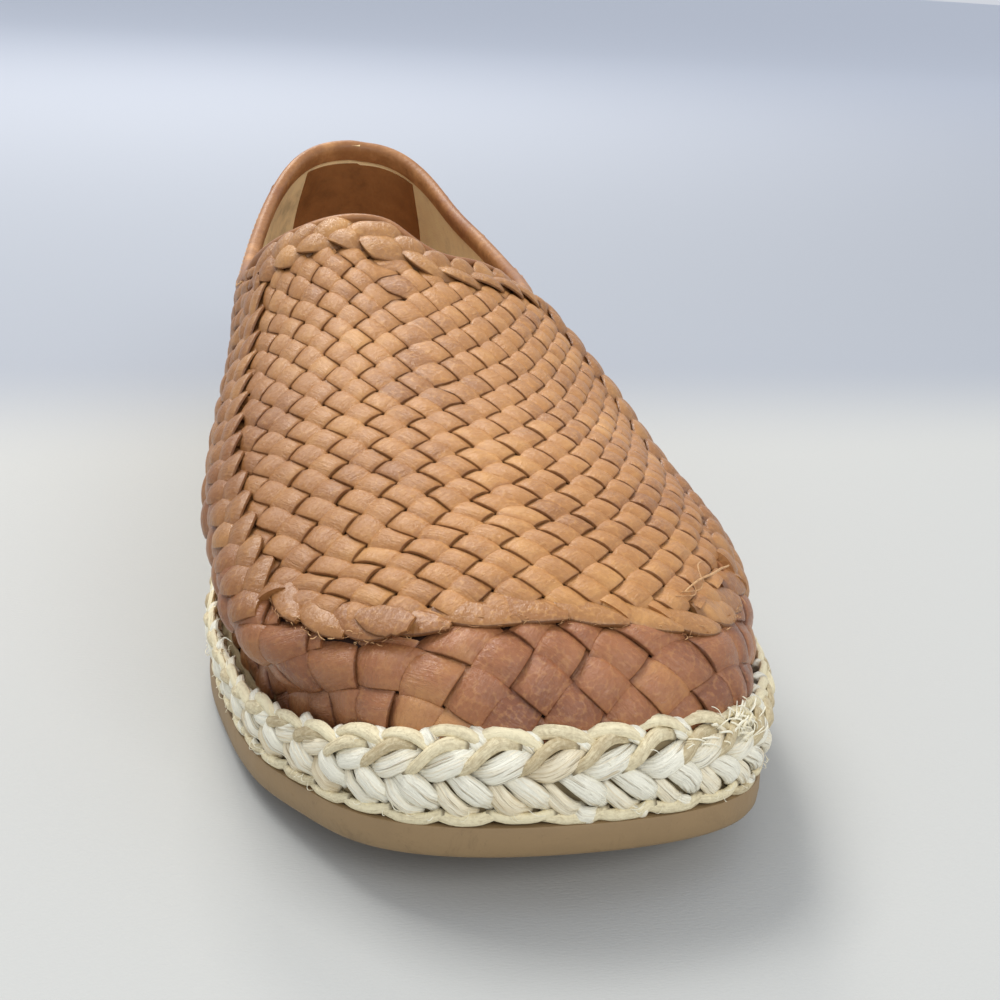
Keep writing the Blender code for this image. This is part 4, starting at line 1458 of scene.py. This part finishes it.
def strip_leather(name, light, middle, dark, deep_shade, gloss, behind=None):
    """Dyed leather strips: a tone for each float, rubbed patches and grain; painted shade in the
    creases, where strips dive under and towards both sides of the shoe, and dark cut sides that are
    partly the edges' own colour and partly painted shade in the gaps.
    """
    shade = Shade(name)
    spot = shade.place()
    tone, under_shade, rim = (shade.attribute(key) for key in ("tone", "under_shade", "rim"))
    cloud = shade.noise(spot, 42.0, 3.0, 0.6)
    mottle = shade.noise(spot, 230.0, 4.0, 0.65)
    grain = shade.cells(spot, 1300.0)
    fine = shade.noise(spot, 2300.0, 3.0, 0.7)
    crease = shade.noise(shade.stretched(shade.surface(), 16.0, 3.5), 1.0, 4.0, 0.7, 0.9)
    fold = crease.step(0.58, 0.72)
    # Across the shoe, for painted shade on the medial and the lateral side
    side = shade.part_of(spot, "X")
    if behind:
        back = (shade.part_of(spot, "Y") + cloud * 0.04).step(-0.070, -0.026)
        light, middle, dark = (
            shade.mix(back, one, other) for one, other in zip((light, middle, dark), behind)
        )
    blend = tone * 0.55 + cloud * 0.85 + mottle * 0.5 - 0.45
    colour = shade.layers(
        dark,
        (blend.step(0.22, 0.52), middle),
        (blend.step(0.5, 0.86), light),
        # Creases darkened: painted shade in the creases
        (fold * 0.30, dark),
        ((grain * 0.6 + fine * 0.6).step(0.60, 0.85) * 0.38, light),
        (fine.step(0.52, 0.68) * 0.20, dark),
        # Cut sides darkened: partly the edges' own colour, partly painted shade in the gaps between
        # strips
        (rim.step(0.955, 0.995) * 0.6, deep_shade),
        # Painted shade where a strip dives under its neighbours
        (under_shade.step(0.50, 0.98) * 0.55, deep_shade),
        # Medial side darker and browner, lateral side darker and pinker: painted shade from how the
        # light falls on the shoe
        (side.step(-0.012, -0.045) * 0.45, tint(120, 72, 36)),
        (side.step(0.010, 0.045) * 0.28, tint(140, 92, 62)),
    )
    roughness = 0.23 + mottle * 0.20 + fold * 0.10 + (1 - gloss) * 0.20
    height = grain * 0.22 + crease * 0.9 + mottle * 0.6 + fine * 0.25
    return shade.finish(colour, roughness, shade.bump(height, 0.30, 0.9))


def plain_leather(name, light, middle, dark, roughness, grain_size=900.0):
    """Smooth or suede leather on object coordinates."""
    shade = Shade(name)
    spot = shade.place()
    cloud = shade.noise(spot, 40.0, 4.0, 0.6)
    mottle = shade.noise(spot, 300.0, 4.0, 0.65)
    grain = shade.cells(spot, grain_size)
    wrinkle = shade.noise(spot, 130.0, 5.0, 0.7, 1.5)
    blend = cloud + mottle * 0.5
    colour = shade.layers(
        dark,
        (blend.step(0.45, 0.8), middle),
        (blend.step(0.75, 1.05), light),
        # Wrinkles darkened: painted shade in the wrinkles
        (wrinkle.step(0.60, 0.72) * 0.3, dark),
    )
    normal = shade.bump(grain * 0.4 + wrinkle * 0.8, 0.25, 0.7)
    return shade.finish(colour, roughness + mottle * 0.15, normal, 0.4)


def raffia_fibre(name, light, middle, dark, deep_shade):
    """Raffia: long fibres along the strand, shining ridges, painted shade along the edges and in
    the hollows where strands tuck under.
    """
    shade = Shade(name)
    surface = shade.surface()
    tone, under_shade, rim = (shade.attribute(key) for key in ("tone", "under_shade", "rim"))
    fibre = shade.noise(shade.stretched(surface, 1.6, 34.0), 1.0, 4.0, 0.7, 0.4)
    coarse = shade.noise(shade.stretched(surface, 1.1, 8.0), 1.0, 3.0, 0.6, 0.5)
    split = shade.noise(shade.stretched(surface, 1.0, 15.0), 1.0, 2.0, 0.5, 0.6).step(0.60, 0.70)
    cloud = shade.noise(shade.place(), 70.0, 3.0, 0.6)
    blend = fibre * 0.6 + coarse * 0.5 + tone * 0.4 + cloud * 0.5 - 0.5
    colour = shade.layers(
        dark,
        (blend.step(0.10, 0.42), middle),
        (blend.step(0.36, 0.68), light),
        (split * 0.6, dark),
        (fibre.step(0.46, 0.36) * 0.25, dark),
        # Painted shade along the strand's edges
        (rim.step(0.88, 1.0) * 0.40, deep_shade),
        # Painted shade where a strand tucks under the next
        (under_shade.step(0.40, 0.90) * 0.6, deep_shade),
    )
    normal = shade.bump(fibre * 0.9 + coarse * 1.5 - split * 0.7, 0.40, 1.0)
    return shade.finish(colour, 0.50 - fibre.step(0.35, 0.7) * 0.35, normal)


def twisted_cord(name, light, dark, deep_shade):
    """Thin cord: plies wind faintly round it."""
    shade = Shade(name)
    surface = shade.surface()
    tone, under_shade = (shade.attribute(key) for key in ("tone", "under_shade"))
    ply = shade.noise(shade.stretched(surface, 9.0, 16.0), 1.0, 3.0, 0.6, 1.2)
    fibre = shade.noise(shade.stretched(surface, 2.2, 40.0), 1.0, 4.0, 0.7, 0.6)
    fuzz = shade.noise(shade.place(), 1100.0, 3.0, 0.7)
    blend = ply * 0.5 + fibre * 0.5 + fuzz * 0.3 + tone * 0.45 - 0.45
    # The second coat is painted shade where the cord tucks under
    coats = (blend.step(0.15, 0.7), light), (under_shade.step(0.42, 0.80) * 0.85, deep_shade)
    normal = shade.bump(ply * 0.6 + fibre * 0.7 + fuzz * 0.5, 0.35, 0.9)
    return shade.finish(shade.layers(dark, *coats), 0.62, normal)


def gum_rubber(name, light, middle, dark):
    """Moulded rubber: faint flow marks, smudges and scuffs."""
    shade = Shade(name)
    spot = shade.place()
    cloud = shade.noise(spot, 30.0, 4.0, 0.6)
    smudge = shade.noise(spot, 120.0, 5.0, 0.7, 0.8)
    scuff = shade.noise(shade.stretched(spot, 60.0, 60.0, 900.0), 1.0, 4.0, 0.7)
    speck = shade.noise(spot, 1500.0, 2.0, 0.6)
    colour = shade.layers(
        middle,
        ((cloud * 0.6 + smudge * 0.6).step(0.4, 0.75), light),
        (smudge.step(0.56, 0.72) * 0.55, dark),
        (scuff.step(0.62, 0.75) * 0.25, dark),
        (speck.step(0.62, 0.75) * 0.25, dark),
    )
    normal = shade.bump(smudge * 0.5 + speck * 0.3 + scuff * 0.3, 0.3, 0.6)
    return shade.finish(colour, 0.42 + smudge * 0.3, normal)


def size_prop(name, description, default, low, high):
    """Length property in millimetres."""
    return bpy.props.FloatProperty(
        name=name, description=description + ", in millimetres", default=default, min=low, max=high
    )


def colour_prop(name, description, red, green, blue):
    """Colour property from a display colour."""
    return bpy.props.FloatVectorProperty(
        name=name, description=description, subtype="COLOR", size=4, min=0.0, max=1.0,
        default=tint(red, green, blue),
    )


class ShoeSizes(bpy.types.PropertyGroup):
    """Sizes of the shoe's finish."""

    wall_pitch: size_prop("Wall strip", "Width of a leather strip round the sides", 6.8, 4.0, 12.0)
    plait_cycle: size_prop("Plait cycle", "Length of a turn of the leather plait", 20.0, 12.0, 40.0)
    binding_width: size_prop("Binding", "Width of the leather binding outside", 5.0, 2.0, 8.0)
    raffia_steps: bpy.props.IntProperty(
        name="Raffia steps", description="Steps of the plait round the whole sole",
        default=78, min=40, max=120,
    )


class ShoeColours(bpy.types.PropertyGroup):
    """Colours of the shoe's finish."""

    leather_light: colour_prop("Leather, light", "Polished parts of the tan strips", 214, 160, 97)
    leather: colour_prop("Leather", "Tan strips over the instep", 185, 130, 76)
    # The dark tone of the strips, which differs at random; in the creases it is painted shade
    leather_dark: colour_prop("Leather, dark", "Creases and shaded strips", 157, 106, 62)
    # Colour of the cut edges, and painted shade where strips dive under and on the dark backing in
    # the weave's gaps
    leather_shade: colour_prop("Leather, deep", "Cut edges and strips that dive under", 66, 34, 18)
    toe_light: colour_prop("Toe leather, light", "Polished parts of the toe strips", 198, 143, 90)
    toe: colour_prop("Toe leather", "Reddish strips round the toe", 165, 107, 69)
    # The dark tone of the toe strips; in the creases it is painted shade
    toe_dark: colour_prop("Toe leather, dark", "Creases of the toe strips", 128, 78, 52)
    lining: colour_prop("Lining", "Suede lining", 246, 220, 168)
    sock: colour_prop("Sock", "Smooth leather inside the heel", 148, 98, 55)
    raffia_light: colour_prop("Raffia, light", "Shining raffia", 255, 251, 231)
    raffia: colour_prop("Raffia", "Off-white raffia", 255, 242, 210)
    # The raffia's own dark fibre tone; darker copies of it paint the shade in the hollows and on
    # the plait's backing
    raffia_dark: colour_prop("Raffia, dark", "Hollows of the raffia", 212, 189, 144)
    cord: colour_prop("Cord", "Straw-coloured cords between the raffia leaves", 246, 234, 196)
    rubber: colour_prop("Rubber", "Gum rubber of the sole", 141, 116, 81)
    floor: colour_prop("Floor", "Pale floor", 188, 189, 186)
    # Bluish grey of the backdrop, painted darker just behind the shoe as painted shade
    shaded_backdrop: colour_prop("Floor, far", "Pale floor behind the shoe", 160, 165, 173)


def finish_piece(obj, material, slot, *nodes):
    """Gives a finished piece its material and its body, and hides the solids it stands for."""
    obj.data.materials.clear()
    for one in material if isinstance(material, list) else [material]:
        obj.data.materials.append(one)
    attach(obj, BODY)
    if nodes:
        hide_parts(*nodes)


def leather_set(colours, name):
    """Leather of the tan, the toe or the plait strips, made once."""
    tan = (colours.leather_light, colours.leather, colours.leather_dark)
    plait_tan = (colours.leather_light, scaled(colours.leather, 0.82), colours.leather_dark)
    toe = (colours.toe_light, colours.toe, colours.toe_dark)
    shades, gloss, behind = {
        "tan_strip_leather": (tan, 0.6, None),
        "toe_strip_leather": (toe, 0.95, tan),
        "plait_leather": (plait_tan, 1.0, None),
    }[name]
    made = bpy.data.materials.get(name)
    return made or strip_leather(name, *shades, colours.leather_shade, gloss, behind)


def sock_leather(name, colours, roughness):
    """Smooth leather inside the shoe."""
    light, dark = scaled(colours.sock, 1.3), scaled(colours.sock, 0.6)
    return plain_leather(name, light, colours.sock, dark, roughness)


class ShoeOperator(bpy.types.Operator):
    """Base of the shoe's operators."""

    bl_options = {"REGISTER", "UNDO"}

    def execute(self, context):
        self.make(context.scene.shoe_sizes, context.scene.shoe_colours)
        return {"FINISHED"}


class SHOE_OT_sole(ShoeOperator):
    """Rubber outsole with its midsole, and the leather footbed's finish"""

    bl_idname = "shoe.sole"
    bl_label = "Sole"

    def make(self, sizes, colours):
        # Section from the tread up the rubber's edge and the midsole: distance in, height
        loops = [
            sole_loop(9.0, lambda at: ground(at) + 0.35),
            sole_loop(1.3, ground),
            sole_loop(0.55, lambda at: ground(at) + 0.35),
            sole_loop(0.12, lambda at: ground(at) + 1.1),
            sole_loop(0.0, lambda at: (ground(at) + ledge(at)) / 2),
            sole_loop(0.1, lambda at: ledge(at) - 0.9),
            sole_loop(0.35, lambda at: ledge(at) - 0.25),
            sole_loop(1.0, ledge),
            sole_loop(CORE_INSET, ledge),
            sole_loop(CORE_INSET, lambda at: ledge(at) + CORE_HEIGHT),
        ]
        obj = stack_rings("rubber_outsole", loops)
        smooth(obj, 40)
        light, dark = scaled(colours.rubber, 1.12), scaled(colours.rubber, 0.66)
        rubber = gum_rubber("gum_rubber", light, colours.rubber, dark)
        finish_piece(obj, rubber, "outsole", "outsole")
        leather = sock_leather("footbed_leather", colours, 0.45)
        for slot in frame["nodes"]["footbed"].material_slots:
            slot.material = leather


class SHOE_OT_raffia(ShoeOperator):
    """Raffia plait round the sole"""

    bl_idname = "shoe.raffia"
    bl_label = "Raffia plait"

    # Section of the plait's backing: distance in from the rubber's edge, share of its height
    CORE = ((3.6, 0.03), (2.2, 0.03), (1.4, 0.3), (1.8, 0.62), (3.0, 0.9), (3.7, 0.9), (3.6, 0.03))

    def make(self, sizes, colours):
        rng = np.random.default_rng(41)
        core = stack_rings("raffia_core", [core_loop(*row) for row in self.CORE], capped=False)
        face_outward(core, weld=0.01)
        smooth(core, 40)
        # The backing is painted dark: painted shade seen between the raffia strands
        deep_shade = scaled(colours.raffia_dark, 0.5)
        backing = plain_leather("raffia_shaded_backing", colours.raffia_dark, deep_shade, deep_shade, 0.8)
        finish_piece(core, backing, "braided_foxing", "braided_foxing")
        leaves, cords = plait_raffia(sizes.raffia_steps, rng)
        # The first colour paints shade along edges and under tucked ends; the second is the cords'
        # own darker tone
        hollow, straw = scaled(colours.raffia_dark, 0.30), scaled(colours.raffia_dark, 0.72)
        leaf = raffia_fibre(
            "raffia", colours.raffia_light, colours.raffia, colours.raffia_dark, hollow
        )
        cord = twisted_cord("raffia_cord", colours.cord, straw, hollow)
        hairs = twisted_cord("raffia_hair", colours.raffia_light, colours.cord, hollow)
        finish_piece(leaves.build("raffia_leaves"), leaf, "braided_foxing")
        finish_piece(cords.build("raffia_cords"), cord, "braided_foxing")
        finish_piece(raffia_frays(rng).build("raffia_frays"), hairs, "braided_foxing")


class SHOE_OT_shell(ShoeOperator):
    """Lining of the woven upper, and its dark backing that paints the shade in the weave's gaps"""

    bl_idname = "shoe.shell"
    bl_label = "Lining"

    # Backing's depth under the weave and its thickness with the lining; the heel sock's
    # thickness, depth and half width
    DEPTH = 0.45
    LINING = 1.45
    SOCK = 0.7
    SOCK_DEPTH = 1.85
    SOCK_HALF = 22.0

    def make(self, sizes, colours):
        obj = shell_sheet("upper_lining", -self.DEPTH)
        # The backing's outer face is painted dark: painted shade seen through the gaps of the weave
        outer = scaled(colours.leather_shade, 0.5)
        backing = plain_leather("backing", colours.leather_shade, outer, outer, 0.8)
        light, dark = scaled(colours.lining, 1.15), scaled(colours.lining, 0.6)
        suede = plain_leather("lining_suede", light, colours.lining, dark, 0.75, 2500.0)
        finish_piece(obj, [backing, suede], "upper", "upper")
        thicken(
            obj, self.LINING, offset=-1.0, use_even_offset=True,
            material_offset=1, material_offset_rim=1,
        )
        run = WALL_CHART.run[LATERAL] + np.linspace(-self.SOCK_HALF, self.SOCK_HALF, 36)
        height = 3.0 + np.linspace(0, 1, 14) * (edge_height(run) - 9.0)[:, None]
        point, normal = WALL_CHART(run[:, None], height)
        sock = grid_piece("heel_sock", point - normal * self.SOCK_DEPTH)
        face_outward(sock)
        finish_piece(sock, sock_leather("sock_leather", colours, 0.4), "upper")
        thicken(sock, self.SOCK, offset=0.0)


class SHOE_OT_weave(ShoeOperator):
    """Woven leather of the apron, the toe band and the quarters"""

    bl_idname = "shoe.weave"
    bl_label = "Woven leather"

    # Parts of the wall: piece, leather, and the runs from the toe between which it lies
    PARTS = (
        ("woven_toe_band", "toe_strip_leather", -105.0, 105.0),
        ("woven_lateral_quarter", "tan_strip_leather", 99.0, 400.0),
        ("woven_medial_quarter", "tan_strip_leather", -400.0, -99.0),
    )

    def make(self, sizes, colours):
        rng = np.random.default_rng(7)
        apron = weave_apron(rng).build("woven_apron")
        finish_piece(apron, leather_set(colours, "tan_strip_leather"), "upper")
        pattern = FlatPattern()
        for name, leather, low, high in self.PARTS:
            part = weave_wall(sizes.wall_pitch, rng, low, high, pattern).build(name)
            finish_piece(part, leather_set(colours, leather), "upper")


class SHOE_OT_plait(ShoeOperator):
    """Leather plait along the seams and round the throat"""

    bl_idname = "shoe.plait"
    bl_label = "Leather plait"

    def make(self, sizes, colours):
        rng = np.random.default_rng(19)
        strips = Strips()
        plait(border_path(), sizes.plait_cycle, rng, strips)
        front_leaves(rng, strips)
        torn_tab(rng, strips)
        finish_piece(strips.build("border_plait"), leather_set(colours, "plait_leather"), "upper")
        thread = twisted_cord(
            "leather_thread", tint(222, 178, 126), colours.leather_dark, colours.leather_shade
        )
        finish_piece(leather_frays(rng).build("leather_frays"), thread, "upper")


class SHOE_OT_binding(ShoeOperator):
    """Binding of the opening and the strap down the heel"""

    bl_idname = "shoe.binding"
    bl_label = "Binding and backstay"

    # Section of the binding over the throat, along the wall upwards and outwards
    THROAT_SECTION = np.array([
        (-1.4, 0.1), (-1.4, 0.7), (-1.1, 1.2), (-0.6, 1.4), (0.05, 1.25), (0.45, 0.6),
        (0.5, -0.4), (0.3, -1.5), (-0.3, -2.2), (-1.2, -2.5), (-2.2, -2.45), (-2.3, -1.6),
    ])

    def make(self, sizes, colours):
        points, out, up, share = opening_loop()
        wide = sizes.binding_width
        quarter = np.array([
            (-wide, 0.2), (-wide, 0.75), (-wide + 0.4, 1.0), (-1.6, 1.0), (-0.3, 0.8),
            (0.35, 0.3), (0.5, -0.6), (0.3, -1.6), (-0.3, -2.25), (-1.6, -2.55),
            (-wide + 0.6, -2.5), (-wide + 0.3, -1.6),
        ])
        blend = share[:, None, None]
        section = quarter[None] * (1 - blend) + self.THROAT_SECTION[None] * blend
        rings = points[:, None] + up[:, None] * section[..., 0:1] + out[:, None] * section[..., 1:2]
        across = np.linspace(-4, 4, len(quarter))[None, :]
        strips = Strips()
        strips.add(
            rings[:, ::-1], arc_length(points), across, np.zeros((1, 1)), 0.5, 0.0, closed=True
        )
        light = scaled(colours.toe_light, 0.95)
        leather = plain_leather(
            "binding_leather", light, colours.leather_dark, colours.toe_dark, 0.38
        )
        finish_piece(strips.build("topline_binding"), leather, "upper")
        thread = twisted_cord(
            "stitch_thread", tint(214, 172, 118), colours.toe, colours.leather_shade
        )
        stitches = binding_stitches(points, out, up, share, wide)
        finish_piece(stitches.build("binding_stitches"), thread, "upper")
        self.backstay(leather)

    def backstay(self, leather):
        """Strap down the back of the heel, narrower towards the top."""
        middle = WALL_CHART.run[LATERAL]
        rows = np.linspace(0, 1, 26)
        across = np.linspace(-1, 1, 13)[:, None]
        run = middle + (11.5 - 3.5 * rows) * across
        height = 0.5 + rows * (float(edge_height(middle)) - 3.0)
        point, normal = WALL_CHART(run, height)
        lift = 1.25 - 0.35 * smoothstep(0.8, 1.0, np.abs(across))
        strap = grid_piece("backstay", point + normal * lift[..., None])
        face_outward(strap)
        finish_piece(strap, leather, "upper")
        thicken(strap, 1.1, offset=0.0)


# Camera: place in the shoe's millimetres, turn towards +X, pitch down and roll in radians
CAMERA_PLACE = (-58.0, -296.1, 132.0)
CAMERA_TURN = 0.0258
CAMERA_PITCH = 0.3838
CAMERA_ROLL = 0.0129
CAMERA_AIM = (0.2139, 0.0073)
CAMERA_LENS = 51.2


class SHOE_OT_stage(ShoeOperator):
    """Floor, lights and camera"""

    bl_idname = "shoe.stage"
    bl_label = "Stage"

    FLOOR = 16.0
    SKY = 0.85
    # Lamps: name, place, aim, size, power, colour
    LAMPS = (
        ("window", (-0.06, 0.95, 0.90), (0, 0, 0.05), (0.3, 0.24), 4.0, (1.0, 0.94, 0.86)),
        ("key", (-0.38, 0.42, 1.12), (0, 0, 0.02), (0.7, 0.45), 9.5, (1.0, 0.985, 0.96)),
        ("front", (0.30, -1.0, 0.78), (0, 0, 0.03), (0.7, 0.4), 4.3, (1.0, 0.99, 0.98)),
    )

    def make(self, sizes, colours):
        self.floor(colours)
        self.sky()
        for lamp in self.LAMPS:
            self.lamp(*lamp)
        self.camera()

    def floor(self, colours):
        bpy.ops.object.select_all(action="DESELECT")
        bpy.ops.mesh.primitive_plane_add(size=self.FLOOR, location=(0, 0, 0))
        obj = bpy.context.object
        obj.name = "floor"
        shade = Shade("floor_cloth")
        spot = shade.place()
        weave = shade.noise(shade.stretched(spot, 900.0, 2400.0, 1.0), 1.0, 2.0, 0.5)
        along = shade.part_of(spot, "Y")
        # Pale floor, then the bluish backdrop, painted darker just behind the shoe and lighter far
        # off: painted shade and painted light
        colour = shade.layers(
            colours.floor,
            (along.step(0.06, 0.16), colours.shaded_backdrop),
            (along.step(0.2, 1.6), tint(212, 218, 229)),
        )
        obj.data.materials.append(shade.finish(colour, 0.85, shade.bump(weave, 0.12, 0.5)))

    def sky(self):
        world = bpy.data.worlds.new("studio")
        bpy.context.scene.world = world
        world.use_nodes = True
        background = world.node_tree.nodes["Background"]
        background.inputs["Color"].default_value = tint(226, 230, 238)
        background.inputs["Strength"].default_value = self.SKY

    def lamp(self, name, location, target, size, energy, colour):
        light = bpy.data.lights.new(name, "AREA")
        light.shape = "RECTANGLE"
        light.size, light.size_y = size
        light.energy = energy
        light.color = colour
        obj = bpy.data.objects.new(name, light)
        bpy.context.scene.collection.objects.link(obj)
        obj.location = location
        way = Vector(target) - Vector(location)
        obj.rotation_euler = way.to_track_quat("-Z", "Y").to_euler()

    def camera(self):
        c, s = math.cos, math.sin
        turn, pitch, roll = CAMERA_TURN, CAMERA_PITCH, CAMERA_ROLL
        right = Vector((c(turn), -s(turn), 0))
        ahead = Vector((s(turn) * c(pitch), c(turn) * c(pitch), -s(pitch)))
        up = Vector((s(turn) * s(pitch), c(turn) * s(pitch), c(pitch)))
        across = right * c(roll) - up * s(roll)
        upright = right * s(roll) + up * c(roll)
        aim = (ahead + across * CAMERA_AIM[0] + upright * CAMERA_AIM[1]).normalized()
        upright = (upright - aim * upright.dot(aim)).normalized()
        across = aim.cross(upright)
        camera = bpy.data.cameras.new("camera")
        camera.lens = CAMERA_LENS
        camera.sensor_width = 36.0
        camera.clip_start = 0.01
        obj = bpy.data.objects.new("camera", camera)
        bpy.context.scene.collection.objects.link(obj)
        matrix = Matrix((across, upright, -aim)).transposed().to_4x4()
        x, y, z = CAMERA_PLACE
        matrix.translation = Vector(((x + SHIFT_X) * MM, (y + SHIFT_Y) * MM, z * MM))
        obj.matrix_world = matrix
        bpy.context.scene.camera = obj
        bpy.context.scene.view_settings.view_transform = "Standard"


class SHOE_PT_panel(bpy.types.Panel):
    """Lists the shoe's pieces"""

    bl_label = "Espadrille Loafer"
    bl_idname = "SHOE_PT_panel"
    bl_space_type = "VIEW_3D"
    bl_region_type = "UI"
    bl_category = "Shoe"

    def draw(self, context):
        layout = self.layout
        for group in (context.scene.shoe_sizes, context.scene.shoe_colours):
            box = layout.box()
            for key in group.__annotations__:
                box.prop(group, key)
        for operator in OPERATORS:
            layout.operator(operator.bl_idname)


OPERATORS = (
    SHOE_OT_stage, SHOE_OT_sole, SHOE_OT_raffia, SHOE_OT_shell,
    SHOE_OT_weave, SHOE_OT_plait, SHOE_OT_binding,
)
CLASSES = (ShoeSizes, ShoeColours, *OPERATORS, SHOE_PT_panel)


def register():
    for one in CLASSES:
        bpy.utils.register_class(one)
    bpy.types.Scene.shoe_sizes = bpy.props.PointerProperty(type=ShoeSizes)
    bpy.types.Scene.shoe_colours = bpy.props.PointerProperty(type=ShoeColours)


def unregister():
    del bpy.types.Scene.shoe_sizes
    del bpy.types.Scene.shoe_colours
    for one in reversed(CLASSES):
        bpy.utils.unregister_class(one)


def main():
    register()
    bpy.ops.object.select_all(action="DESELECT")
    bpy.ops.shoe.stage()
    bpy.ops.shoe.sole()
    bpy.ops.shoe.raffia()
    bpy.ops.shoe.shell()
    bpy.ops.shoe.weave()
    bpy.ops.shoe.plait()
    bpy.ops.shoe.binding()


if __name__ == "__main__":
    main()
